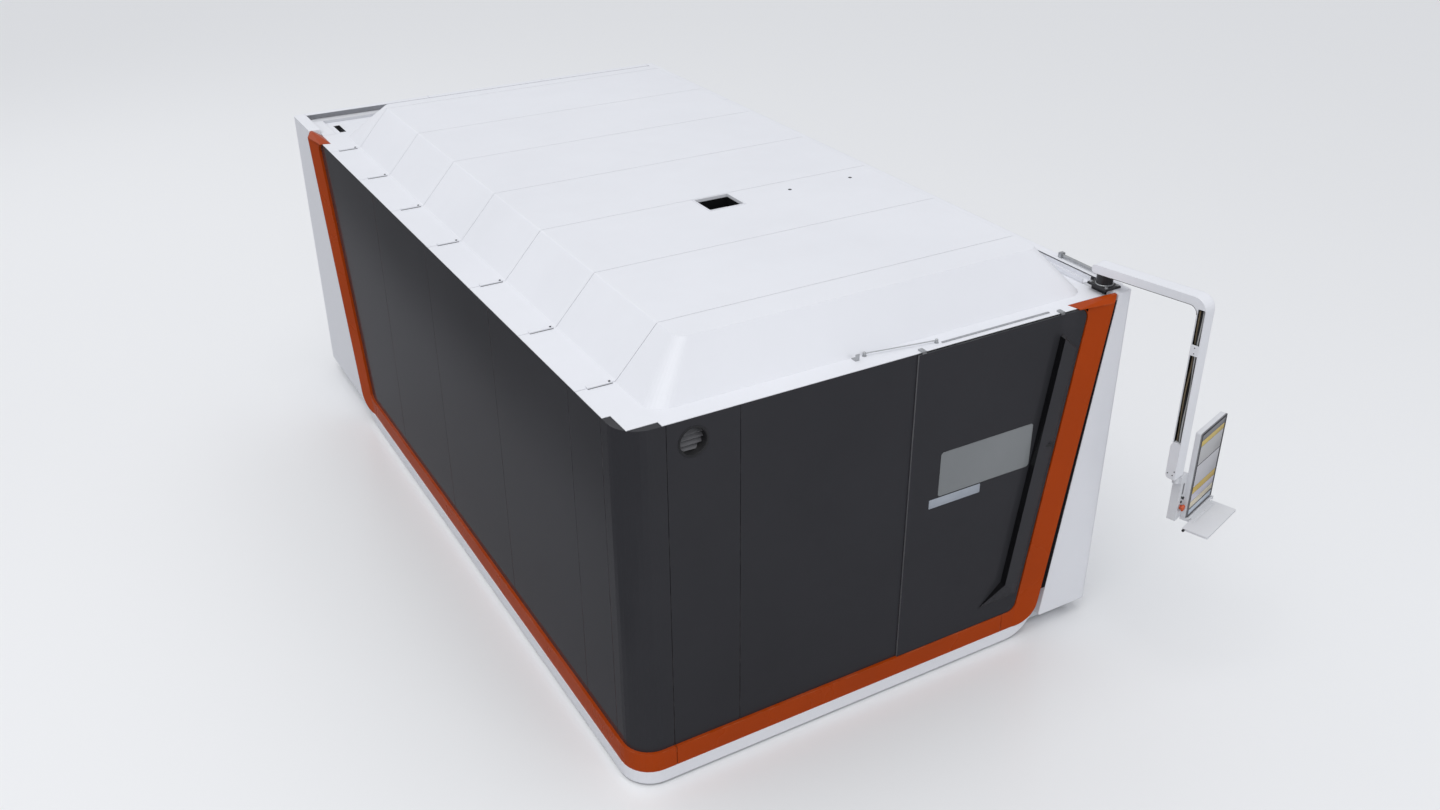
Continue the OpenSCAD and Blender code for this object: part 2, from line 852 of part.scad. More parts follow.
// Whole hood as a closed form, drawn in by inset for its inner face
module hood_form(inset) {
  slip = 1.4 * inset;
  below = inset > 0 ? over : 0;
  hull() {
    translate([0, 0, wall_h - below]) linear_extrude(sheet_t + below - inset)
      round_rect([foot_left + slip, foot_near + slip],
        [body_w - foot_right - slip, body_l - foot_far - slip], foot_corner_r);
    translate([0, 0, hood_z - sheet_t - inset]) linear_extrude(sheet_t)
      round_rect([top_left + inset / 2, top_near + inset / 2],
        [body_w - top_right - inset / 2, body_l - top_far - inset / 2], top_corner_r);
  }
}

// Roof end with its flange, between y0 and y1, with the flange's own ends
module roof_cap(y0, y1) {
  intersection() {
    difference() {
      union() {
        translate([0, y0, wall_h]) cube([roof_edge, y1 - y0, sheet_t]);
        hood_form(0);
      }
      hood_form(sheet_t);
    }
    translate([-over, y0, wall_h - over]) cube([body_w, y1 - y0, 2 * hood_z]);
  }
}

// Near roof end, stepped in over the rounded corner
module roof_near_cap() {
  color(white) place() difference() {
    roof_cap(0, roof_near_l - seam_gap / 2);
    translate([0, 0, wall_h - over]) linear_extrude(2 * over + sheet_t)
      polygon([[-over, -over], [notch_l, -over], [notch_l, notch_d], [notch_d, notch_d],
        [notch_d, notch_l], [-over, notch_l]]);
  }
}

module roof_far_cap() {
  color(white) place() roof_cap(body_l - roof_far_l + seam_gap / 2, roof_end);
}

// Bent roof panel i, with a fold down at each of its two edges
module roof_panel(i) {
  y0 = roof_near_l + i * roof_pitch + seam_gap / 2;
  l = roof_pitch - seam_gap;
  path = [[0, roof_z], [foot_left, roof_z], [top_left, hood_z], [body_w - top_right, hood_z],
    [body_w - foot_right, roof_z], [roof_edge, roof_z]];
  r = [0, bend_r, bend_r + sheet_t, bend_r + sheet_t, bend_r, 0];
  fold = [for (k = [1:4]) path[k]];
  module section(p, rr, t) {
    rotate([90, 0, 0]) linear_extrude(sheet_t) bent_sheet(p, rr, t);
  }
  translate([0, y0 + l, 0]) rotate([90, 0, 0]) linear_extrude(l) bent_sheet(path, r, sheet_t);
  for (y = [y0 + sheet_t, y0 + l])
    translate([0, y, 0]) intersection() {
      section(fold, [0, bend_r + fold_d, bend_r + fold_d, 0], fold_d);
      translate([0, -over, wall_h]) cube([body_w, 2 * over, hood_z]);
    }
}

module roof_panels() {
  color(white) place() for (i = [0:roof_count - 1])
    if (i != hatch_panel) roof_panel(i);
}

// Near edge of the hatch, close to the far seam of its panel
function hatch_y() = roof_near_l + (hatch_panel + 1) * roof_pitch - hatch_margin - hatch_l;

// Roof panel with the hatch cut through its flat top
module roof_hatch_panel() {
  color(white) place() difference() {
    roof_panel(hatch_panel);
    translate([hatch_x, hatch_y(), hood_z - 2 * over])
      cube([hatch_w, hatch_l, 4 * over]);
  }
}

// Raised tabs over the seams of the long flange
module roof_joint_tabs() {
  color(white) place() for (i = [0:roof_count])
    translate([tab_start, roof_near_l + i * roof_pitch - tab_w / 2, roof_z])
      cube([tab_l, tab_w, tab_h]);
}

// Collar that lines the hatch and hangs below the roof
module hatch_collar() {
  lip = 2 * sheet_t;
  color(white) place() translate([hatch_x, hatch_y(), hood_z - hatch_depth]) difference() {
    union() {
      cube([hatch_w, hatch_l, hatch_depth + sheet_t]);
      translate([-lip, -lip, hatch_depth]) cube([hatch_w + 2 * lip, hatch_l + 2 * lip, sheet_t]);
    }
    translate([sheet_t, sheet_t, -over])
      cube([hatch_w - 2 * sheet_t, hatch_l - 2 * sheet_t, hatch_depth + 2 * over]);
  }
}

// Recessed pan between the roof's far edge and the far wall, with a slot
module far_tray() {
  y0 = roof_end + seam_gap;
  l = rail_y1 - y0;
  x0 = rail_x + fold_d;
  x1 = rail_x1 - fold_d;
  path = [[panel_d, roof_z], [x0, roof_z], [x0, roof_z - tray_pan_depth],
    [x1, roof_z - tray_pan_depth], [x1, roof_z], [roof_edge, roof_z]];
  color(white) place() difference() {
    translate([0, y0 + l, 0]) rotate([90, 0, 0]) linear_extrude(l)
      bent_sheet(path, [0, bend_r, bend_r, bend_r, bend_r, 0], sheet_t);
    translate([x0 + tray_slot[0], y0 + l / 4, wall_h - 2 * tray_pan_depth])
      cube([tray_slot[0], tray_slot[1], 4 * tray_pan_depth]);
  }
}

// Cable channel along the top of the operator side
module cable_trunk() {
  x0 = roof_edge + seam_gap;
  y0 = pivot[1] + arm_plate[1];
  color(white) place() translate([x0, rail_y1, wall_h]) rotate([90, 0, 0]) linear_extrude(rail_y1 - y0)
    bent_sheet([[0, trunk_h], [0, 0], [frame_x1 - x0, 0], [frame_x1 - x0, trunk_h]], [0, 0, 0, 0], -sheet_t);
}

// Outline of the sliding end door, drawn in by inset
module door_outline(inset) {
  z0 = door_z0 + inset;
  z1 = door_z1 - inset;
  r = strip_inner_r - door_gap;
  function u(z) = edge_u(z, end_top, end_slope_share) - door_gap - inset;
  polygon(round_pts([[door_x + inset, z0], [u(z0), z0], [u(z1), z1], [door_x + inset, z1]], [0, r, r, 0]));
}

// Outline of the end door's window, grown by border
module end_window_outline(border) {
  x0 = door_x + window_left;
  x1 = edge_u(window_sill, end_top, end_slope_share) - window_right;
  round_rect([x0 - border, window_sill - border], [x1 + border, window_sill + window_h + border], window_r);
}

// Dark sliding door of the near end, hollowed from behind
module end_door() {
  color(dark) place() difference() {
    on_end(door_front, -door_run) difference() {
      door_outline(0);
      end_window_outline(0);
    }
    on_end(door_front + sheet_t, over) difference() {
      door_outline(door_border);
      end_window_outline(door_border);
    }
  }
}

module end_door_window() {
  y0 = door_front + window_in;
  color(glass) place() on_end(y0, y0 + window_t) end_window_outline(0);
}

// Long wedge pull along the slanted edge of the door, that runs out to a point at its foot
module end_door_pull() {
  function at(z, off) = [edge_u(z, end_top, end_slope_share) - off, z];
  // Hull of an outline on the door and of the raised edge over some of its points
  module rise(foot, ridge, inset) {
    hull() {
      on_end(door_front - pull_edge + inset, door_front + inset) polygon(foot);
      on_end(door_front - pull_proud + inset, door_front - pull_edge) polygon(ridge);
    }
  }
  module wedge(inset) {
    left = pull_left - inset;
    right = pull_right + inset;
    z1 = wall_h - pull_top - inset;
    z0 = band_top + pull_bottom + inset;
    zk = band_top + pull_knee;
    edge = [at(z1 - pull_edge, left), at(zk, left), at(zk, left - pull_edge)];
    rise([at(z1, left), at(z1, left - pull_cap), at(z1 - pull_slope, right), at(zk, right), at(zk, left)],
      edge, inset);
    rise([at(zk, left), at(zk, right), at(z0, right), at(z0, left + pull_flare - inset)],
      [edge[1], edge[2], edge[2] - [0, pull_edge]], inset);
  }
  color(dark) place() difference() {
    wedge(0);
    wedge(sheet_t);
  }
}

// Guide shoes on the door's top, hooked over the edge of the roof flange
module end_door_shoes() {
  right = end_top - shoe_right - shoe_w;
  z1 = roof_z + sheet_t;
  profile = [[door_front, door_z1], [door_front + shoe_t, door_z1], [door_front + shoe_t, z1],
    [shoe_reach - shoe_t, z1], [shoe_reach - shoe_t, roof_z + run_gap], [shoe_reach, roof_z + run_gap],
    [shoe_reach, z1 + shoe_t], [door_front, z1 + shoe_t]];
  color(steel) place() for (x = [door_x + shoe_left, right])
    translate([x, 0, 0]) rotate([90, 0, 90]) linear_extrude(shoe_w) polygon(profile);
}

// Fixed door hardware on the flange: guide rail, slanted rod between two posts and end bracket
module end_door_rail() {
  rail_x0 = end_top - closer_end - closer_rail[0];
  near = [rail_x0 - 3 * closer_post_r, closer_rod_y[1]];
  far = [near[0] - closer_rod_x, closer_rod_y[0]];
  run = near - far;
  bracket_x = far[0] - closer_bracket_gap - closer_bracket[0];
  color(steel) place() translate([0, 0, roof_z]) {
    translate([rail_x0, closer_y, 0]) cube(closer_rail);
    for (p = [near, far])
      translate(p) cylinder(r = closer_post_r, h = closer_post_h);
    translate([far[0], far[1], closer_post_h - 2 * closer_rod_r]) rotate([0, 90, atan2(run[1], run[0])])
      cylinder(r = closer_rod_r, h = norm(run));
    translate([bracket_x, far[1] + closer_post_r - closer_bracket[1], 0])
      difference() {
        cube(closer_bracket);
        translate([-over, sheet_t, sheet_t]) cube(closer_bracket + [2 * over, 0, 0]);
      }
  }
}

// Outline of the operator door's window, along the wall and up, grown by border
module op_window_outline(border) {
  y1 = op_door_y + op_door_l - op_window_margin;
  round_rect([op_door_y + op_window_margin - border, op_window_sill - border],
    [y1 + border, op_window_sill + op_window_h + border], window_r);
}

// Extrudes an outline of (distance along the operator side, height) outwards
module on_right(d0, d1) {
  translate([body_w + d0, 0, 0]) rotate([90, 0, 90]) linear_extrude(d1 - d0) children();
}

// White sliding door of the operator side, hollowed from behind, with a recessed pull
module operator_door() {
  border = 2 * op_recess[0] + door_border;
  color(white) place() difference() {
    on_right(op_run, op_run + op_door_t) difference() {
      round_rect([op_door_y, op_z0], [op_door_y + op_door_l, op_z1], window_r);
      op_window_outline(0);
    }
    on_right(-over, op_run + op_door_t - sheet_t) difference() {
      round_rect([op_door_y + border, op_z0 + door_border],
        [op_door_y + op_door_l - door_border, op_z1 - door_border], window_r);
      op_window_outline(door_border);
    }
    translate([body_w + op_run + op_door_t - op_recess[2], op_door_y + op_recess[0], op_window_sill])
      cube([op_recess[2] + over, op_recess[0], op_recess[1]]);
  }
}

module operator_window() {
  d0 = op_run + op_door_t / 2;
  color(glass) place() on_right(d0, d0 + window_t) op_window_outline(0);
}

// Top track and bottom guide of the operator door
module operator_rail() {
  l = op_door_l + op_travel;
  color(white) place() translate([body_w, op_door_y, op_z1 + run_gap]) rotate([90, 0, 180])
    linear_extrude(l)
      bent_sheet([[0, op_rail_h], [-op_rail_d, op_rail_h], [-op_rail_d, -tube_t]], [0, 0, 0], -tube_t);
  color(steel) place() translate([body_w, op_door_y, op_z0 - tube_t - run_gap])
    cube([op_run + op_door_t, l, tube_t]);
}

// Hinged door of the electrical cabinet, with its hinge halves and latch
module cabinet_door() {
  h = rim_h - white_gap;
  color(white) place() {
    translate([body_w, cab_y0 + seam_gap / 2, white_gap]) rotate([0, 0, 90])
      cassette(cab_door_w - seam_gap, panel_d - op_run, h);
    for (s = hinge_z_shares)
      hinge_half(hinge_z(s) + hinge_knuckle + run_gap, -1, true);
    translate([body_w, cab_y0 + 2 * panel_d, wall_h / 2]) cube(latch);
  }
}

// Open fronted cabinet behind the hinged door
module electrical_cabinet() {
  y0 = cab_y0 + tube_w / 2 + cab_wall;
  l = cab_door_w - tube_w - 2 * cab_wall;
  color(white) place() translate([frame_x1 - op_run - cab_depth, y0, band_top]) difference() {
    cube([cab_depth, l, cab_top - band_top]);
    translate([cab_wall, cab_wall, cab_wall])
      cube([cab_depth, l - 2 * cab_wall, cab_top - band_top - 2 * cab_wall]);
  }
}

// Laser source on the cabinet's floor, with cooling slots in its front
module laser_source() {
  y0 = cab_y0 + cab_door_w / 2 - source_size[1] / 2;
  pitch = source_size[2] / (2 * source_slots + 1);
  color(steel) place() translate([frame_x1 - op_run - cab_depth + 2 * cab_wall, y0, band_top + cab_wall])
    difference() {
      cube(source_size);
      translate([-over, cab_wall, cab_wall])
        cube([source_size[0] - over, source_size[1] - 2 * cab_wall, source_size[2] - 2 * cab_wall]);
      for (i = [0:source_slots - 1])
        translate([source_size[0] - over, source_size[1] / 5, (2 * i + 1) * pitch])
          cube([2 * over, 3 * source_size[1] / 5, pitch / 2]);
    }
}

// Bent sheet between the equipment bay and the cutting chamber
module bay_wall() {
  path = [[bay_x, rail_x + seam_gap], [bay_x, bay_l - sheet_t], [rail_x + seam_gap, bay_l - sheet_t]];
  color(white) place() translate([0, 0, band_top]) linear_extrude(wall_h - tube_w - band_top)
    bent_sheet(path, [0, bend_r, 0], -sheet_t);
}

// Water chiller on skids: two fan openings in the top part and a grille below
module chiller() {
  skid_l = bay_l - sheet_t - seam_gap - cross_bay_y;
  w = chiller_size[0];
  h = chiller_size[2];
  pitch = 0.35 * h / (2 * grille_slots + 1);
  color(steel) place() translate([chiller_x, 0, band_top]) {
    for (x = [skid_w, w - 2 * skid_w])
      translate([x, cross_bay_y, 0]) cube([skid_w, skid_l, skid_h]);
    translate([0, chiller_y, skid_h]) difference() {
      cube(chiller_size);
      translate([cab_wall, 2 * fan_depth, cab_wall])
        cube([w - 2 * cab_wall, chiller_size[1], h - 2 * cab_wall]);
      for (x = [w / 4, 3 * w / 4])
        translate([x, fan_depth, h - 1.5 * fan_r]) rotate([90, 0, 0]) difference() {
          cylinder(r = fan_r, h = fan_depth + over);
          cylinder(r = fan_r / 3, h = fan_depth);
        }
      for (i = [0:grille_slots - 1])
        translate([w / 8, -over, 0.15 * h + 2 * i * pitch])
          cube([3 * w / 4, over + fan_depth, pitch]);
    }
  }
}

// Base plate, drum and pivot pin of the swing arm
module arm_base() {
  y0 = panel_d + seam_gap;
  x0 = roof_edge + seam_gap - sheet_t / 2;
  drum_z = rim_h + arm_plate[2];
  color(black) place() {
    translate([x0, y0, wall_h])
      cube([frame_x1 - x0 - sheet_t, pivot[1] + arm_plate[1] / 2 - y0, rim_rise]);
    translate([pivot[0] - arm_plate[0] / 2, pivot[1] - arm_plate[1] / 2, rim_h]) cube(arm_plate);
    translate([pivot[0], pivot[1], drum_z]) {
      cylinder(r = drum_r, h = arm_top - arm_t - run_gap - drum_z);
      cylinder(r = pivot_pin_r, h = arm_top - arm_t + pivot_pin_h - drum_z);
    }
  }
}

// Stay rod on the white rim, between two lugs
module arm_stay() {
  x = body_w - stay_in;
  color(steel) place() {
    for (y = [stay_y0, stay_y1])
      translate([x - stay_lug[0] / 2, y, rim_h]) cube(stay_lug);
    translate([x, stay_y0, rim_h + stay_lug[2] / 2]) rotate([-90, 0, 0])
      cylinder(r = stay_r, h = stay_y1 - stay_y0);
  }
}

// Moves a piece from the arm's own frame, with X along the arm, to the pivot
module at_pivot() {
  place() translate([pivot[0], pivot[1], 0]) rotate([0, 0, arm_angle]) children();
}

// Moves a piece from the console's swivel axis to its place under the arm
module at_tube() {
  at_pivot() translate([arm_reach, hub_side, 0]) rotate([0, 0, console_angle - arm_angle]) children();
}

// Lower end of the arm's cable channel
channel_z = arm_end_z + arm_foot[1] + 3 * arm_foot[0];

// Bent arm with the open cable channel down its hanging tube
module swing_arm() {
  half = arm_t / 2;
  x1 = arm_reach + half;
  x0 = arm_reach - half;
  low = arm_top - arm_t;
  outline = [[-arm_tail, arm_top], [x1, arm_top], [x1, arm_end_z], [x0 - arm_foot[0], arm_end_z],
    [x0 - arm_foot[0], arm_end_z + arm_foot[1]], [x0, arm_end_z + arm_foot[1] + 2 * arm_foot[0]],
    [x0, low], [-arm_tail, low]];
  r = [arm_tail_r, arm_outer_r, 0, arm_end_r, arm_foot_r, arm_foot_r, arm_inner_r, arm_tail_r];
  side = [arm_reach - channel_half, arm_reach + channel_half];
  channel = [[side[0], channel_z], [side[1], channel_z],
    [side[1], low - channel_end], [side[0], low - channel_end]];
  color(white) at_pivot() difference() {
    rotate([90, 0, 0]) translate([0, 0, -arm_w / 2]) linear_extrude(arm_w) polygon(round_pts(outline, r));
    translate([0, 0, low - over]) cylinder(r = pivot_pin_r + pin_gap, h = pivot_pin_h + over + run_gap);
    difference() {
      rotate([90, 0, 0]) translate([0, 0, channel_wall - arm_w / 2]) linear_extrude(arm_w)
        polygon(round_pts(channel, [0, 0, channel_r, channel_r]));
      translate([x0, -arm_w / 2, low - clip_drop]) cube([arm_t, clip_t, clip_h]);
    }
  }
}

// Cables that run down the arm's channel
module arm_cables() {
  top = arm_top - arm_t - channel_end - channel_r;
  color(black) at_pivot() for (i = [-1, 0, 1])
    translate([arm_reach + i * cable_pitch, cable_in - arm_w / 2, channel_z])
      cylinder(r = cable_r * (1 - cable_step_share * i), h = top - channel_z);
}

// Console shell: hub under the arm, button strip, screen back and tray lugs
module console_housing() {
  top = arm_end_z - run_gap;
  hub_z = arm_end_z - hub_h;
  plate_w = strip_right - strip_left;
  strip_top = arm_end_z - strip_top_gap - console_z;
  shell_y0 = screen_left - shell_border;
  shell_w = screen_w + 2 * shell_border;
  shell_z = console_z;
  color(white) at_tube() difference() {
    union() {
      translate([0, 0, hub_z]) cylinder(r = hub_r, h = top - hub_z);
      translate([strip_back, 0, hub_z])
        cube([strip_front - strip_back, strip_left + shell_t, hub_h - strip_top_gap]);
      translate([strip_back, strip_left, shell_z]) rotate([90, 0, 90])
        linear_extrude(strip_front - strip_back)
          polygon(round_pts([[0, 0], [plate_w, 0], [plate_w, strip_top], [0, strip_top]],
            [shell_border, 0, strip_r, strip_r]));
      translate([strip_front, shell_y0, shell_z]) rotate([90, 0, 90]) linear_extrude(shell_t)
        round_rect([0, 0], [shell_w, screen_h + 2 * shell_border], shell_border);
      for (y = [shell_y0, shell_y0 + shell_w - lug_t])
        translate([strip_front, y, tray_axis[1] - 2 * tray_pin_r])
          cube([tray_axis[0] - strip_front + 2 * tray_pin_r, lug_t, 4 * tray_pin_r]);
    }
    translate([tray_axis[0], shell_y0 - over, tray_axis[1]]) rotate([-90, 0, 0])
      cylinder(r = tray_pin_r + pin_gap, h = shell_w + 2 * over);
    for (b = [[stop_z, stop_stem_r], [start_z, start_stem_r]])
      translate([strip_front - button_bore, button_y, b[0]]) rotate([0, 90, 0])
        cylinder(r = b[1] + run_gap, h = button_bore + over);
  }
}

// Glass touch screen on the console's front
module console_screen() {
  color(glass) at_tube() translate([strip_front + shell_t, screen_left, console_z + shell_border])
    cube([screen_t, screen_w, screen_h]);
}

// Keyboard tray with its hinge barrel and pins
module keyboard_tray() {
  y0 = screen_left - shell_border;
  y1 = y0 + screen_w + 2 * shell_border;
  x0 = tray_axis[0] + tray_start;
  barrel_l = y1 - y0 - 2 * lug_t - 2 * run_gap;
  color(white) at_tube() translate([0, 0, tray_axis[1]]) {
    difference() {
      union() {
        translate([x0, -tray_left, -tray_t / 2]) linear_extrude(tray_t)
          round_rect([0, 0], [tray_d, tray_w], tray_t / 2);
        translate([tray_axis[0], y0 + 2 * lug_t, -tray_t / 2])
          cube([tray_start + tray_t, tray_w - tray_left - y0 - 3 * lug_t, tray_t]);
      }
      translate([x0 + tray_start, y0 - lug_t, tray_t / 2 - tray_groove[2]])
        cube([tray_groove[0], tray_groove[1], over]);
    }
    translate([tray_axis[0], y0 + lug_t + run_gap, 0]) rotate([-90, 0, 0])
      cylinder(r = tray_barrel_r, h = barrel_l);
    translate([tray_axis[0], y0, 0]) rotate([-90, 0, 0])
      cylinder(r = tray_pin_r, h = y1 - y0);
  }
}

// Push button with its stem in the console's strip
module push_button(z, cap_r, stem_r, stand) {
  at_tube() translate([strip_front, button_y, z]) rotate([0, 90, 0]) {
    translate([0, 0, -stand]) cylinder(r = stem_r, h = 2 * stand);
    translate([0, 0, stand]) cylinder(r = cap_r, h = button_depth * cap_r / stop_r);
  }
}

module stop_button() {
  color(orange) push_button(stop_z, stop_r, stop_stem_r, button_stand);
}

module start_button() {
  color(black) push_button(start_z, start_r, start_stem_r, button_stand / 2);
}

// Left face of each bed side beam
bed_x = [bed_inset, body_w - bed_inset - bed_beam_w];

// Two hollow side beams of the bed
module bed_beams() {
  l = bed_far - bed_near;
  color(steel) place() for (x = bed_x)
    translate([x, bed_near, band_top]) difference() {
      cube([bed_beam_w, l, bed_z - band_top]);
      translate([bed_wall, -over, bed_wall])
        cube([bed_beam_w - 2 * bed_wall, l + 2 * over, bed_z - band_top - 2 * bed_wall]);
    }
}

// Guide rails on the bed, each with its rack on the inner side
module guide_rails() {
  l = bed_far - bed_near - 2 * guide_end;
  rack_x = [bed_x[0] + bed_beam_w - rack_w, bed_x[1]];
  color(steel) place() translate([0, bed_near + guide_end, bed_z]) {
    for (x = bed_x)
      translate([x + bed_beam_w / 2 - guide[0] / 2, 0, 0]) cube([guide[0], l, guide[1]]);
    for (x = rack_x)
      translate([x, 0, 0]) cube([rack_w, l, rack_w / 2]);
  }
}

// Plates along the bed that carry the slats
module table_rails() {
  xs = [bed_x[0] + bed_beam_w, bed_x[1] - ledger_t];
  color(steel) place() for (x = xs)
    translate([x, bed_near + table_near, slat_top - ledger_h]) cube([ledger_t, table_l, ledger_h]);
}

// Support slats with a toothed upper edge
module support_slats() {
  x0 = bed_x[0] + bed_beam_w + ledger_t;
  w = bed_x[1] - ledger_t - x0;
  tooth = w / slat_teeth;
  outline = concat([[0, 0]], [for (i = [0:slat_teeth - 1]) each
    [[i * tooth, slat_h - slat_tooth_h], [(i + 0.5) * tooth, slat_h]]], [[w, slat_h - slat_tooth_h], [w, 0]]);
  y0 = bed_near + table_near;
  color(steel) place() for (y = [y0 + slat_pitch / 2:slat_pitch:y0 + table_l - slat_t])
    translate([x0, y, slat_top - slat_h]) on_end(0, slat_t) polygon(outline);
}

// Bottom of the gantry beam, and its near face
beam_z = bed_z + guide[1] + carriage_h;
beam_y = gantry_y - beam_d / 2;

// Section of the gantry beam, drawn in by inset
function beam_profile(inset) = let (hi = beam_h - inset, far = beam_d - inset)
  let (cut = beam_chamfer - inset * (2 - sqrt(2)))
  [[inset, inset], [far, inset], [far, hi - cut], [far - cut, hi], [inset, hi]];

// Gantry: beam, the two saddles on the guide rails, drive motors and X rails
module gantry_beam() {
  x0 = bed_x[0];
  x1 = bed_x[1] + bed_beam_w;
  saddle_z = bed_z + guide[1] - saddle_lip;
  groove_w = guide[0] + 2 * run_gap;
  color(white) place() {
    translate([x0, beam_y, beam_z]) rotate([90, 0, 90]) linear_extrude(x1 - x0) difference() {
      polygon(beam_profile(0));
      polygon(beam_profile(bed_wall));
    }
    for (x = bed_x) {
      translate([x, gantry_y - carriage_l / 2, saddle_z]) difference() {
        cube([bed_beam_w, carriage_l, beam_z - saddle_z]);
        translate([bed_beam_w / 2 - groove_w / 2, -over, -over])
          cube([groove_w, carriage_l + 2 * over, over + saddle_lip + run_gap]);
      }
      translate([x + bed_beam_w / 2 - motor[0] / 2, beam_y + beam_d, beam_z])
        cube([motor[0], carriage_l / 2 - beam_d / 2, motor[2]]);
    }
    for (s = x_rail_z_shares)
      translate([x0 + bed_beam_w / 2, beam_y - x_rail, beam_z + s * beam_h - x_rail / 2])
        cube([x1 - x0 - bed_beam_w, x_rail, x_rail]);
  }
}

// Ribbed round cover along the top of the beam
module beam_cover() {
  x0 = bed_x[0] + cover_margin;
  l = body_w - 2 * x0;
  pitch = l / cover_ribs;
  module half_round(r, w) {
    rotate([90, 0, 90]) linear_extrude(w) intersection() {
      circle(r);
      translate([-r, 0]) square([2 * r, r]);
    }
  }
  color(black) place() translate([x0, beam_y + cover_r, beam_z + beam_h]) {
    half_round(cover_r - cover_rib_h, l);
    for (i = [0:cover_ribs - 1])
      translate([(i + 0.25) * pitch, 0, 0]) half_round(cover_r, pitch / 2);
  }
}

// Front plane of the head carriage
carriage_y = beam_y - x_rail - run_gap - head_plate[1];
slat_clear_z = slat_top + nozzle_gap;

// Carriage plate on the beam's X rails, with two upright rails for the head
module head_carriage() {
  z0 = beam_z + head_rise;
  h = beam_h - 2 * head_rise;
  color(steel) place() translate([body_w / 2, carriage_y, z0]) {
    translate([-head_plate[0] / 2, 0, 0]) cube([head_plate[0], head_plate[1], h]);
    for (x = [-z_rail_x, z_rail_x])
      translate([x - z_rail[0] / 2, -z_rail[1], 0]) cube([z_rail[0], z_rail[1], h]);
  }
}

// Cutting head on its slide plate, down to the nozzle
module cutting_head() {
  y1 = carriage_y - z_rail[1] - run_gap;
  z0 = beam_z + head_rise;
  h = beam_h - 2 * head_rise;
  cone_z = slat_clear_z + nozzle_h;
  color(steel) place() translate([body_w / 2, y1 - slide_plate[1], 0]) {
    translate([-slide_plate[0] / 2, 0, z0]) cube([slide_plate[0], slide_plate[1], h]);
    translate([0, -head_r, 0]) {
      translate([0, 0, cone_z + head_cone_h])
        cylinder(r = head_r, h = z0 + h - cone_z);
      translate([0, 0, cone_z]) cylinder(r1 = head_tip_r, r2 = head_r, h = head_cone_h);
      translate([0, 0, slat_clear_z]) cylinder(r1 = nozzle_r, r2 = head_tip_r, h = nozzle_h);
    }
    translate([-head_tip_r, -head_r, z0]) cube([2 * head_tip_r, head_r, h]);
  }
}

levelling_feet();
base_frame();
wall_posts();
top_rails();
plinth();
side_band();
side_strip();
end_band();
end_strip();
corner_panel();
side_panel_1();
side_panel_wide(0);  // side_panel_2
side_panel_wide(1);  // side_panel_3
side_panel_wide(2);  // side_panel_4
side_panel_5();
end_panel_1();
end_panel_2();
vent_grille();
near_pillar();
far_pillar();
far_panels();
right_panels();
roof_near_cap();
roof_panels();
roof_hatch_panel();
roof_far_cap();
roof_joint_tabs();
hatch_collar();
far_tray();
cable_trunk();
end_door();
end_door_window();
end_door_pull();
end_door_shoes();
end_door_rail();
operator_door();
operator_window();
operator_rail();
cabinet_door();
electrical_cabinet();
laser_source();
bay_wall();
chiller();
arm_base();
arm_stay();
swing_arm();
arm_cables();
console_housing();
console_screen();
keyboard_tray();
stop_button();
start_button();
bed_beams();
guide_rails();
table_rails();
support_slats();
gantry_beam();
beam_cover();
head_carriage();
cutting_head();
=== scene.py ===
"""Looks of an enclosed fiber laser cutting machine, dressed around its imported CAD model."""

from __future__ import annotations

import json
import logging
import math
from abc import ABC, abstractmethod
from dataclasses import dataclass, replace
from enum import Enum
from typing import Callable, Dict, List, Optional, Sequence, Tuple, Union

import bmesh
import bpy
from mathutils import Matrix, Vector

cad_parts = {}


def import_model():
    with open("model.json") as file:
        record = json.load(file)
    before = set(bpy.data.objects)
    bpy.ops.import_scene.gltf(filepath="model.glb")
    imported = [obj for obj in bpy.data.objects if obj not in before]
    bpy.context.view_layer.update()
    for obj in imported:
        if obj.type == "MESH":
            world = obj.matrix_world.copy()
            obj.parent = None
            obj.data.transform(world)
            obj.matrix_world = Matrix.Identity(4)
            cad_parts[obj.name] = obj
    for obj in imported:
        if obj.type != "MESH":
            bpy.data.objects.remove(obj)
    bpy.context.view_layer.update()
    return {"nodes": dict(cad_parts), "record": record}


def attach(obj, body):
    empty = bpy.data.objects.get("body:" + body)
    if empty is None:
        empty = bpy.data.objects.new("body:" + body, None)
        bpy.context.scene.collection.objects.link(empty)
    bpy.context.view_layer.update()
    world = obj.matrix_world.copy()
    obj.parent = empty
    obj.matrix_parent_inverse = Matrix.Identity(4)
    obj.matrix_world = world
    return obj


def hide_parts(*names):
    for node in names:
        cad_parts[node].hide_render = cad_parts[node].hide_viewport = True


LOG = logging.getLogger("laser_cutter")
MM = 0.001
HALF_WIDTH, HALF_LENGTH = 1525.0, 2810.0  # of the walls, in millimetres
SINK = 0.2  # depth of a detail's foot below the face that it sits on, in millimetres
WELD = 0.00001  # distance in metres under which two vertices are one
SHARP = 35.0  # angle in degrees from which an edge stays sharp

Colour = Tuple[float, float, float]
Pair = Tuple[float, float]
Point = Tuple[float, float, float]
Profile = Tuple[Pair, ...]
Input = Union[float, Sequence[float], bpy.types.NodeSocket]


def corner(x: float, y: float, z: float) -> Vector:
    """Gives a row frame point in metres for millimetres from the near left corner of the walls.

    Args:
        x: Distance along the near end.
        y: Distance along the long wall.
        z: Height above the floor.

    Returns:
        The point in metres.
    """
    return Vector((x - HALF_WIDTH, y - HALF_LENGTH, z)) * MM


def stand(name: str, data: bpy.types.ID) -> bpy.types.Object:
    """Makes an object from its data and puts it in the scene."""
    made = bpy.data.objects.new(name, data)
    bpy.context.scene.collection.objects.link(made)
    return made


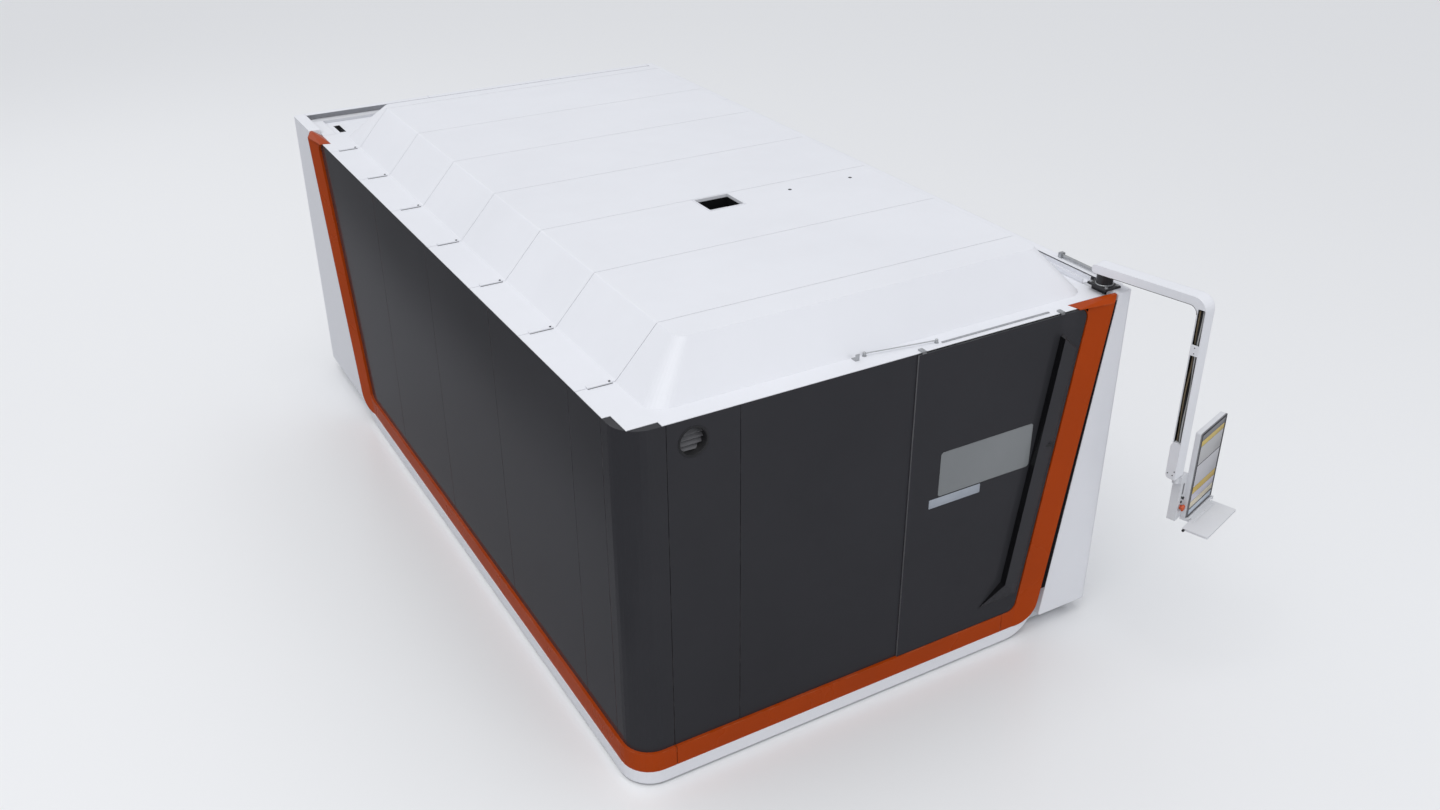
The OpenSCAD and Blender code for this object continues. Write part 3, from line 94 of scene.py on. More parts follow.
@dataclass(frozen=True)
class Rounded:
    """Rectangle with round corners on a face, in millimetres, with so many steps to a corner."""

    low: Pair
    high: Pair
    radius: float
    steps: int = 5

    def outline(self) -> List[Pair]:
        """Gives its points, anticlockwise."""
        left, low = (v + self.radius for v in self.low)
        right, high = (v - self.radius for v in self.high)
        points: List[Pair] = []
        for quarter, (x, y) in enumerate(((right, high), (left, high), (left, low), (right, low))):
            for step in range(self.steps + 1):
                angle = (quarter + step / self.steps) * math.pi / 2.0
                points.append((x + self.radius * math.cos(angle), y + self.radius * math.sin(angle)))
        return points


class Side(Enum):
    """Face that a detail sits on, as the directions along it and up it."""

    NEAR = ((1.0, 0.0, 0.0), (0.0, 0.0, 1.0))
    RIGHT = ((0.0, 1.0, 0.0), (0.0, 0.0, 1.0))
    LEFT = ((0.0, -1.0, 0.0), (0.0, 0.0, 1.0))
    TOP = ((1.0, 0.0, 0.0), (0.0, 1.0, 0.0))

    def turn(self) -> Matrix:
        """Gives the rotation with X along the face, Y up it and Z out of it."""
        along, up = (Vector(v) for v in self.value)
        return Matrix((along, up, along.cross(up))).transposed().to_4x4()


class Slot(Enum):
    """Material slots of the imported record."""

    DARK = "dark_panel"
    ORANGE = "orange_trim"
    WHITE = "white_shell"
    FRAME = "frame_paint"
    STEEL = "bare_steel"
    SLAT = "slat_steel"
    ALLOY = "alloy"
    WINDOW = "window"
    SCREEN = "screen"
    RUBBER = "black_rubber"
    PLASTIC = "black_plastic"
    CONSOLE = "console_plastic"
    STOP = "stop_orange"


class Body(Enum):
    """Bodies of the CAD model that details move with."""

    MACHINE = "machine"
    END_DOOR = "end_door"
    OPERATOR_DOOR = "operator_door"
    CABINET_DOOR = "cabinet_door"
    ARM = "arm"
    CONSOLE = "console"
    TRAY = "tray"
    STOP_BUTTON = "stop_button"
    START_BUTTON = "start_button"
    HEAD = "cutting_head"


class Grain(Enum):
    """Direction of the fine grain of a finish."""

    EVEN = (1.0, 1.0, 1.0)
    ALONG_X = (0.06, 1.0, 1.0)
    ALONG_Y = (1.0, 0.06, 1.0)


@dataclass(frozen=True)
class Datum:
    """Frame of a sub-assembly in millimetres: an upright axis and the turn round it in degrees."""

    x: float = 0.0
    y: float = 0.0
    angle: float = 0.0

    def at(self, side: Side, x: float, y: float, z: float) -> Matrix:
        """Gives the frame of a face of the sub-assembly.

        Args:
            side: The face, as the sub-assembly sees it.
            x: First coordinate of the frame's origin.
            y: Second coordinate.
            z: Height above the floor.

        Returns:
            The frame, with X along the face, Y up it, Z out of it and a length of one millimetre.
        """
        axis = Matrix.Translation(corner(self.x, self.y, 0.0)) @ Matrix.Rotation(math.radians(self.angle), 4, "Z")
        return axis @ Matrix.Scale(MM, 4) @ Matrix.Translation((x, y, z)) @ side.turn()


WALLS = Datum()
ARM = Datum(2945.0, 95.0, -77.0)
CONSOLE = Datum(3099.157, -474.929, -72.0)


@dataclass(frozen=True)
class Finish:
    """Look of one surface: colours, gloss, grain, dust, rounded edges and an edge colour that is part worn paint and
    part painted edge highlight.

    Lengths are in metres, and shares run from 0 to 1.
    """

    name: str
    colour: Colour
    tone: Colour
    rough: Pair
    metallic: float = 0.0
    coat: float = 0.0
    specular: float = 0.5
    cloud_scale: float = 1.6
    grain_scale: float = 420.0
    grain: Grain = Grain.EVEN
    bump: float = 0.04
    dust: float = 0.0
    dust_colour: Colour = (0.55, 0.54, 0.52)
    # share and colour of the edges: worn paint, and on the dark and orange paints a lighter painted edge highlight
    wear_and_highlight: float = 0.0
    wear_and_highlight_colour: Colour = (0.6, 0.6, 0.6)
    edge: float = 0.002
    clear: float = 0.0
    glow: float = 0.0


class Nodes:
    """Shader node tree that is grown one node at a time."""

    MIX_COLOURS = (6, 7)  # the colour inputs of a mix node, whose names are shared by other types
    MIX_RESULT = 2

    def __init__(self, tree: bpy.types.NodeTree) -> None:
        """Keeps the tree to grow."""
        self.tree = tree

    def feed(self, node: bpy.types.Node, inputs: Dict[Union[str, int], Input]) -> None:
        """Sets a node's inputs to values, or links them to sockets."""
        for name, value in inputs.items():
            if isinstance(value, bpy.types.NodeSocket):
                self.tree.links.new(value, node.inputs[name])
            else:
                node.inputs[name].default_value = value

    def add(self, kind: str, inputs: Optional[Dict[Union[str, int], Input]] = None,
            **settings: object) -> bpy.types.NodeOutputs:
        """Adds a node.

        Args:
            kind: The node's type, without the words that all types start with.
            inputs: Value of each input, or the socket that feeds it.
            settings: Properties that are set before the inputs.

        Returns:
            The node's outputs.
        """
        node = self.tree.nodes.new(f"ShaderNode{kind}")
        for name, value in settings.items():
            setattr(node, name, value)
        self.feed(node, inputs or {})
        return node.outputs

    def noise(self, vector: Input, scale: Input, detail: float, roughness: float = 0.5) -> bpy.types.NodeSocket:
        """Adds noise and gives its value."""
        return self.add("TexNoise", {"Vector": vector, "Scale": scale, "Detail": detail,
                                     "Roughness": roughness})["Fac"]

    def ramp(self, value: Input, span: Pair, result: Pair = (0.0, 1.0), **settings: object) -> bpy.types.NodeSocket:
        """Maps a span of values to another one and gives the result."""
        return self.add("MapRange", {"Value": value, "From Min": span[0], "From Max": span[1], "To Min": result[0],
                                     "To Max": result[1]}, **settings)["Result"]

    def maths(self, operation: str, *values: Input) -> bpy.types.NodeSocket:
        """Adds one step of arithmetic and gives the result."""
        return self.add("Math", dict(enumerate(values)), operation=operation)[0]

    def blend(self, first: Input, second: Input, share: bpy.types.NodeSocket) -> bpy.types.NodeSocket:
        """Mixes two colours by a mask.

        Args:
            first: The colour, or the socket of one, where the mask is 0.
            second: The colour, or the socket of one, where the mask is 1.
            share: The mask's socket.

        Returns:
            The socket of the mixed colour.
        """
        inputs: Dict[Union[str, int], Input] = {"Factor": share}
        for index, value in zip(self.MIX_COLOURS, (first, second)):
            inputs[index] = value if isinstance(value, bpy.types.NodeSocket) else (*value, 1.0)
        return self.add("Mix", inputs, data_type="RGBA")[self.MIX_RESULT]


class ShaderGroups:
    """Node groups that the finishes share, each built once."""

    NUMBER = "NodeSocketFloat"
    VECTOR = "NodeSocketVector"
    CLOUD_SPAN: Pair = (0.3, 0.7)
    UPWARD_SPAN: Pair = (0.2, 0.95)
    PATCH_SCALE = 3.5
    PATCH_SPAN: Pair = (0.42, 0.75)
    EDGE_SAMPLES = 6
    WEAR_HIGHLIGHT_SPAN: Pair = (0.995, 0.9)
    CHIP_SCALE = 14.0
    CHIP_SPAN: Pair = (0.45, 0.65)

    def __init__(self) -> None:
        """Builds the groups."""
        self.surface = self._surface()
        self.dust = self._dust()
        self.edges = self._edges()

    @staticmethod
    def _open(name: str, inputs: Dict[str, str],
              outputs: Dict[str, str]) -> Tuple[Nodes, bpy.types.NodeOutputs, bpy.types.Node]:
        """Makes an empty group with its sockets.

        Args:
            name: Name of the group.
            inputs: Socket type of each input.
            outputs: Socket type of each output.

        Returns:
            The group's nodes, the sockets of its inputs, and the node that takes its outputs.
        """
        tree = bpy.data.node_groups.new(name, "ShaderNodeTree")
        for in_out, sockets in (("INPUT", inputs), ("OUTPUT", outputs)):
            for label, kind in sockets.items():
                tree.interface.new_socket(name=label, in_out=in_out, socket_type=kind)
        return Nodes(tree), tree.nodes.new("NodeGroupInput").outputs, tree.nodes.new("NodeGroupOutput")

    def _surface(self) -> bpy.types.NodeTree:
        """Builds the group for slow clouding and fine grain over a surface."""
        nodes, given, end = self._open(
            "surface_grain", {"Vector": self.VECTOR, "Cloud Scale": self.NUMBER, "Grain Vector": self.VECTOR,
                              "Grain Scale": self.NUMBER}, {"Cloud": self.NUMBER, "Grain": self.NUMBER})
        cloud = nodes.noise(given["Vector"], given["Cloud Scale"], detail=4.0, roughness=0.6)
        grain = nodes.noise(given["Grain Vector"], given["Grain Scale"], detail=3.0)
        nodes.feed(end, {"Cloud": nodes.ramp(cloud, self.CLOUD_SPAN), "Grain": grain})
        return nodes.tree

    def _dust(self) -> bpy.types.NodeTree:
        """Builds the group for dust that settles in patches on upward faces."""
        nodes, given, end = self._open("settled_dust", {"Vector": self.VECTOR, "Amount": self.NUMBER},
                                       {"Mask": self.NUMBER})
        facing = nodes.add("SeparateXYZ", {"Vector": nodes.add("NewGeometry")["Normal"]})
        upward = nodes.ramp(facing["Z"], self.UPWARD_SPAN)
        noise = nodes.noise(given["Vector"], self.PATCH_SCALE, detail=8.0, roughness=0.65)
        patches = nodes.maths("MULTIPLY", upward, nodes.ramp(noise, self.PATCH_SPAN))
        nodes.feed(end, {"Mask": nodes.maths("MULTIPLY", patches, given["Amount"])})
        return nodes.tree

    def _edges(self) -> bpy.types.NodeTree:
        """Builds the group for slightly rounded edges and their mask, which marks part worn paint and part painted
        edge highlight.
        """
        nodes, given, end = self._open("rounded_edges", {"Radius": self.NUMBER, "Vector": self.VECTOR},
                                       {"Normal": self.VECTOR, "Rub": self.NUMBER})
        bent = nodes.add("Bevel", {"Radius": given["Radius"]}, samples=self.EDGE_SAMPLES)["Normal"]
        flat = nodes.add("NewGeometry")["Normal"]
        agree = nodes.add("VectorMath", {0: bent, 1: flat}, operation="DOT_PRODUCT")["Value"]
        chips = nodes.noise(given["Vector"], self.CHIP_SCALE, detail=6.0)
        edge_wear_and_highlight = nodes.maths("MULTIPLY", nodes.ramp(agree, self.WEAR_HIGHLIGHT_SPAN), nodes.ramp(chips, self.CHIP_SPAN))
        nodes.feed(end, {"Normal": bent, "Rub": edge_wear_and_highlight})
        return nodes.tree


class Paintbox:
    """Makes each finish's material once and hands it out."""

    COAT_ROUGH = 0.05
    DUST_DULLS = 0.4
    GRAIN_DEPTH = 0.001

    def __init__(self) -> None:
        """Builds the shared groups, with no material made yet."""
        self.groups = ShaderGroups()
        self._made: Dict[str, bpy.types.Material] = {}

    def make(self, finish: Finish) -> bpy.types.Material:
        """Builds a finish's material, or gives the one already built.

        Args:
            finish: The look to build.

        Returns:
            The material.
        """
        if finish.name in self._made:
            return self._made[finish.name]
        material = bpy.data.materials.new(finish.name)
        material.use_nodes = True
        nodes = Nodes(material.node_tree)
        place = nodes.add("TexCoord")["Object"]
        squeezed = nodes.add("Mapping", {"Vector": place, "Scale": finish.grain.value})["Vector"]
        skin = nodes.add("Group", {"Vector": place, "Cloud Scale": finish.cloud_scale, "Grain Vector": squeezed,
                                   "Grain Scale": finish.grain_scale}, node_tree=self.groups.surface)
        edges = nodes.add("Group", {"Vector": place, "Radius": finish.edge}, node_tree=self.groups.edges)
        colour = nodes.blend(finish.colour, finish.tone, skin["Cloud"])
        rough = nodes.ramp(skin["Cloud"], (0.0, 1.0), finish.rough)
        # edges take the wear colour: part worn paint, part painted edge highlight
        if finish.wear_and_highlight > 0.0:
            wear_and_highlight_share = nodes.maths("MULTIPLY", edges["Rub"], finish.wear_and_highlight)
            colour = nodes.blend(colour, finish.wear_and_highlight_colour, wear_and_highlight_share)
        if finish.dust > 0.0:
            dust = nodes.add("Group", {"Vector": place, "Amount": finish.dust}, node_tree=self.groups.dust)["Mask"]
            colour = nodes.blend(colour, finish.dust_colour, dust)
            rough = nodes.maths("MULTIPLY_ADD", dust, self.DUST_DULLS, rough)
        bump = nodes.add("Bump", {"Strength": finish.bump, "Distance": self.GRAIN_DEPTH, "Height": skin["Grain"],
                                  "Normal": edges["Normal"]})["Normal"]
        nodes.feed(nodes.tree.nodes["Principled BSDF"], {
            "Base Color": colour, "Roughness": rough, "Normal": bump, "Metallic": finish.metallic,
            "Specular IOR Level": finish.specular, "Coat Weight": finish.coat, "Coat Roughness": self.COAT_ROUGH,
            "Transmission Weight": finish.clear, "Emission Color": (*finish.colour, 1.0),
            "Emission Strength": finish.glow})
        self._made[finish.name] = material
        return material


class Form:
    """Mesh of one detail piece, grown with bmesh operators in frames of one millimetre.

    Each method that adds a shape gives the form itself back.
    """

    SCREW: Profile = ((0.0, 0.28), (0.42, 0.28), (0.48, 0.7), (0.8, 0.63), (1.0, 0.35))  # in screw radii

    def __init__(self) -> None:
        """Starts with an empty mesh."""
        self.bm = bmesh.new()

    def block(self, place: Matrix, size: Point, edge: float) -> Form:
        """Adds a block with rounded edges that stands on a face.

        Args:
            place: Frame of the face, at the block's middle.
            size: Length along the face, up it and out of it.
            edge: Radius of the edges.
        """
        middle = place @ Matrix.Translation((0.0, 0.0, size[2] / 2.0)) @ Matrix.Diagonal((*size, 1.0))
        made = bmesh.ops.create_cube(self.bm, size=1.0, matrix=middle)
        self._soften({e for v in made["verts"] for e in v.link_edges}, edge)
        return self

    def plate(self, place: Matrix, outline: Sequence[Pair], thick: float, edge: float) -> Form:
        """Adds a flat plate with a rounded rim.

        Args:
            place: Frame of the face below it.
            outline: Its points on that face.
            thick: Height above the face.
            edge: Radius of the rim.
        """
        self._raise(place, [self._face(place, outline)], thick, edge)
        return self

    def ring(self, place: Matrix, outline: Sequence[Pair], width: float, thick: float, edge: float) -> Form:
        """Adds a flat frame that runs round the inside of an outline.

        Args:
            place: Frame of the face below it.
            outline: Its outer points on that face.
            width: Width of the frame.
            thick: Height above the face.
            edge: Radius of the rims.
        """
        face = self._face(place, outline)
        made = bmesh.ops.inset_region(self.bm, faces=[face], thickness=width * MM, use_even_offset=True,
                                      use_boundary=True)
        bmesh.ops.delete(self.bm, geom=[face], context="FACES")
        self._raise(place, made["faces"], thick, edge)
        return self

    def turned(self, place: Matrix, profile: Sequence[Pair], closed: bool = False, steps: int = 24) -> Form:
        """Adds a turned shape.

        Args:
            place: Frame with its Z on the axis.
            profile: Radius and height of each point.
            closed: Whether the last point joins the first one, as in a ring.
            steps: Faces round the axis.
        """
        verts = [self.bm.verts.new(place @ Vector((radius, 0.0, height))) for radius, height in profile]
        ends = verts[1:] + verts[:1] if closed else verts[1:]
        edges = [self.bm.edges.new(pair) for pair in zip(verts, ends)]
        axis = (place.to_3x3() @ Vector((0.0, 0.0, 1.0))).normalized()
        bmesh.ops.spin(self.bm, geom=verts + edges, cent=place.translation, axis=axis, angle=math.tau,
                       steps=steps, use_merge=True)
        return self

    def screw(self, place: Matrix, radius: float) -> Form:
        """Adds a domed screw head with a round socket."""
        head = [(radius * out, radius * up) for out, up in self.SCREW]
        return self.turned(place, head + [(radius, -SINK), (0.0, -SINK)], steps=16)

    def swept(self, place: Matrix, points: Sequence[Point], radius: float, sides: int = 10) -> Form:
        """Adds a round bar along a path.

        Args:
            place: Frame of the path.
            points: The path's points.
            radius: Radius of the bar.
            sides: Faces round the bar.
        """
        path = [place @ Vector(point) for point in points]
        last = len(path) - 1
        loops: List[List[bmesh.types.BMEdge]] = []
        for index, point in enumerate(path):
            ahead = path[min(index + 1, last)] - path[max(index - 1, 0)]
            turn = ahead.to_track_quat("Z", "Y").to_matrix().to_4x4()
            made = bmesh.ops.create_circle(self.bm, cap_ends=index in (0, last), radius=radius * MM,
                                           segments=sides, matrix=Matrix.Translation(point) @ turn)
            loops.append(list({e for v in made["verts"] for e in v.link_edges}))
        for first, second in zip(loops, loops[1:]):
            bmesh.ops.bridge_loops(self.bm, edges=first + second)
        return self

    def piece(self, name: str, paints: Paintbox, body: Body, slot: Slot,
              look: Optional[Finish] = None) -> bpy.types.Object:
        """Cleans the mesh and makes it a piece that moves with a body.

        Args:
            name: The piece's name.
            paints: The materials.
            body: The CAD body that it moves with.
            slot: The record's slot that its finish belongs to.
            look: Its own finish, where that isn't the slot's.

        Returns:
            The piece, at the origin.
        """
        bmesh.ops.remove_doubles(self.bm, verts=self.bm.verts, dist=WELD)
        bmesh.ops.recalc_face_normals(self.bm, faces=self.bm.faces)
        mesh = bpy.data.meshes.new(name)
        self.bm.to_mesh(mesh)
        self.bm.free()
        mesh.shade_smooth()
        mesh.set_sharp_from_angle(angle=math.radians(SHARP))
        mesh.materials.append(paints.make(look or FINISHES[slot]))
        made = stand(name, mesh)
        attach(made, body.value)
        LOG.info("built %s: %d faces on %s", name, len(mesh.polygons), body.value)
        return made

    def _face(self, place: Matrix, outline: Sequence[Pair]) -> bmesh.types.BMFace:
        """Adds one flat face on a frame and gives it."""
        return self.bm.faces.new([self.bm.verts.new(place @ Vector((u, v, 0.0))) for u, v in outline])

    def _raise(self, place: Matrix, faces: Sequence[bmesh.types.BMFace], thick: float, edge: float) -> None:
        """Raises flat faces from a frame and rounds the rim of their tops.

        Args:
            place: Frame of the face below them.
            faces: The flat faces.
            thick: How far they rise.
            edge: Radius of the rim.
        """
        made = bmesh.ops.extrude_face_region(self.bm, geom=list(faces))
        tops = {g for g in made["geom"] if isinstance(g, bmesh.types.BMFace)}
        verts = [g for g in made["geom"] if isinstance(g, bmesh.types.BMVert)]
        bmesh.ops.translate(self.bm, verts=verts, vec=place.to_3x3() @ Vector((0.0, 0.0, thick)))
        around = {e for f in tops for e in f.edges}
        self._soften({e for e in around if sum(f in tops for f in e.link_faces) == 1}, edge)

    def _soften(self, edges: Sequence[bmesh.types.BMEdge], radius: float) -> None:
        """Rounds edges by a radius in millimetres."""
        bmesh.ops.bevel(self.bm, geom=list(edges), offset=radius * MM, offset_type="OFFSET", segments=2,
                        profile=0.5, affect="EDGES", material=-1)


FINISHES: Dict[Slot, Finish] = {
    Slot.DARK: Finish("dark_gloss_paint", (0.031, 0.031, 0.035), (0.036, 0.036, 0.041), (0.08, 0.14), specular=0.2,
                      cloud_scale=0.8, grain_scale=900.0, bump=0.012, dust=0.06, wear_and_highlight=0.1, edge=0.003),
    Slot.ORANGE: Finish("dark_orange_paint", (0.39, 0.05, 0.003), (0.35, 0.044, 0.002), (0.22, 0.32), specular=0.14,
                        cloud_scale=1.2, grain_scale=700.0, bump=0.02, dust=0.05, wear_and_highlight=0.35,
                        wear_and_highlight_colour=(0.6, 0.25, 0.12), edge=0.004),
    Slot.WHITE: Finish("satin_white_paint", (0.8, 0.81, 0.85), (0.76, 0.77, 0.81), (0.32, 0.45), specular=0.4,
                       cloud_scale=0.7, grain_scale=650.0, bump=0.025, dust=0.06, dust_colour=(0.55, 0.55, 0.55),
                       edge=0.004),
    Slot.FRAME: Finish("frame_tube_paint", (0.68, 0.69, 0.72), (0.6, 0.61, 0.64), (0.4, 0.55),
                       grain_scale=520.0, bump=0.05, dust=0.3, wear_and_highlight=0.3, wear_and_highlight_colour=(0.3, 0.3, 0.31),
                       edge=0.003),
    Slot.STEEL: Finish("machined_steel", (0.42, 0.43, 0.45), (0.33, 0.34, 0.36), (0.22, 0.38), metallic=1.0,
                       cloud_scale=6.0, grain_scale=900.0, grain=Grain.ALONG_Y, bump=0.08, edge=0.0015),
    Slot.SLAT: Finish("scorched_steel", (0.09, 0.08, 0.075), (0.17, 0.13, 0.1), (0.5, 0.75), metallic=0.7,
                      cloud_scale=9.0, grain_scale=240.0, bump=0.25, dust=0.5, dust_colour=(0.2, 0.16, 0.13),
                      wear_and_highlight=0.5, wear_and_highlight_colour=(0.45, 0.42, 0.4), edge=0.001),
    Slot.ALLOY: Finish("anodised_alloy", (0.6, 0.61, 0.63), (0.53, 0.54, 0.56), (0.3, 0.42), metallic=0.9,
                       cloud_scale=3.0, grain_scale=800.0, grain=Grain.ALONG_X, bump=0.05),
    Slot.WINDOW: Finish("laser_safety_pane", (0.29, 0.305, 0.315), (0.25, 0.265, 0.275), (0.08, 0.14),
                        cloud_scale=1.2, bump=0.005, edge=0.001, clear=0.2),
    Slot.SCREEN: Finish("touch_screen_glass", (0.045, 0.047, 0.052), (0.035, 0.037, 0.042), (0.1, 0.16),
                        cloud_scale=3.0, bump=0.004, edge=0.001),
    Slot.RUBBER: Finish("black_rubber", (0.018, 0.018, 0.019), (0.03, 0.03, 0.031), (0.6, 0.75), specular=0.3,
                        cloud_scale=7.0, grain_scale=500.0, bump=0.2, dust=0.15),
    Slot.PLASTIC: Finish("black_moulded_plastic", (0.017, 0.017, 0.019), (0.026, 0.026, 0.028), (0.38, 0.5),
                         specular=0.35, cloud_scale=5.0, grain_scale=900.0, bump=0.15, dust=0.1),
    Slot.CONSOLE: Finish("console_moulding", (0.7, 0.71, 0.74), (0.66, 0.67, 0.7), (0.42, 0.52),
                         cloud_scale=4.0, grain_scale=1100.0, bump=0.1, dust=0.08, edge=0.003),
    Slot.STOP: Finish("stop_button_cap", (0.56, 0.085, 0.02), (0.5, 0.07, 0.015), (0.2, 0.3), coat=0.2,
                      cloud_scale=20.0, bump=0.02),
}

# near-black matt for plates and sleeves that darken recesses: painted shade
SHADE_BLACK = Finish("painted_shade_black", (0.006, 0.006, 0.007), (0.01, 0.01, 0.011), (0.75, 0.9), specular=0.1)
PALE_PLATE = Finish("pale_blank_plate", (0.36, 0.39, 0.44), (0.31, 0.34, 0.39), (0.3, 0.42), specular=0.3,
                    cloud_scale=9.0, bump=0.02, edge=0.001)
# lighter grey for the door's lit left edge: painted highlight
HIGHLIGHT_GREY = Finish("painted_edge_highlight", (0.16, 0.16, 0.17), (0.13, 0.13, 0.14), (0.3, 0.4), specular=0.3, edge=0.001)
ZINC = Finish("zinc_plate", (0.5, 0.51, 0.52), (0.4, 0.41, 0.42), (0.3, 0.45), metallic=0.9, cloud_scale=30.0,
              bump=0.04, edge=0.0005)
DARK_STEEL = Finish("blackened_steel", (0.05, 0.05, 0.055), (0.08, 0.08, 0.085), (0.3, 0.45), metallic=0.6,
                    cloud_scale=20.0, bump=0.05, edge=0.001)
COPPER = Finish("copper", (0.72, 0.33, 0.18), (0.6, 0.25, 0.13), (0.2, 0.35), metallic=1.0, cloud_scale=40.0,
                edge=0.0005)
CERAMIC = Finish("ceramic", (0.82, 0.8, 0.74), (0.76, 0.74, 0.68), (0.35, 0.45), edge=0.0005)
WIRE_WHITE = Finish("white_wire", (0.5, 0.5, 0.5), (0.42, 0.42, 0.42), (0.4, 0.5), cloud_scale=12.0, edge=0.0005)
WIRE_OCHRE = Finish("ochre_wire", (0.2, 0.16, 0.1), (0.16, 0.12, 0.07), (0.4, 0.5), cloud_scale=12.0, edge=0.0005)
SOFT_GREY = Finish("soft_grey_plastic", (0.2, 0.2, 0.21), (0.17, 0.17, 0.18), (0.4, 0.5), specular=0.35,
                   cloud_scale=12.0, bump=0.08, edge=0.001)

# near-black gloss for the pull's steep flank: painted shade
PULL_FLANK_SHADE = Finish("pull_flank_painted_shade", (0.006, 0.006, 0.007), (0.009, 0.009, 0.01), (0.1, 0.16), specular=0.3, bump=0.01)
DISPLAY = Finish("display", (0.5, 0.5, 0.5), (0.5, 0.5, 0.5), (0.15, 0.2), specular=0.4, bump=0.0, edge=0.0002,
                 glow=0.12)
NODE_LOOKS: Dict[str, Finish] = {
    "cable_trunk": FINISHES[Slot.WHITE], "far_tray": FINISHES[Slot.WHITE], "arm_stay": ZINC, "end_door_shoes": ZINC,
    "end_door_rail": ZINC,
}
SHADED_FLANK_FACING = -0.3  # the pull's flank is where a face's normal has less of X than this
VENT: Point = (358.5, 0.0, 1977.0)  # middle of the vent, in millimetres from the walls' corner
VENT_R = 64.0  # radius within which the vent's faces are grey


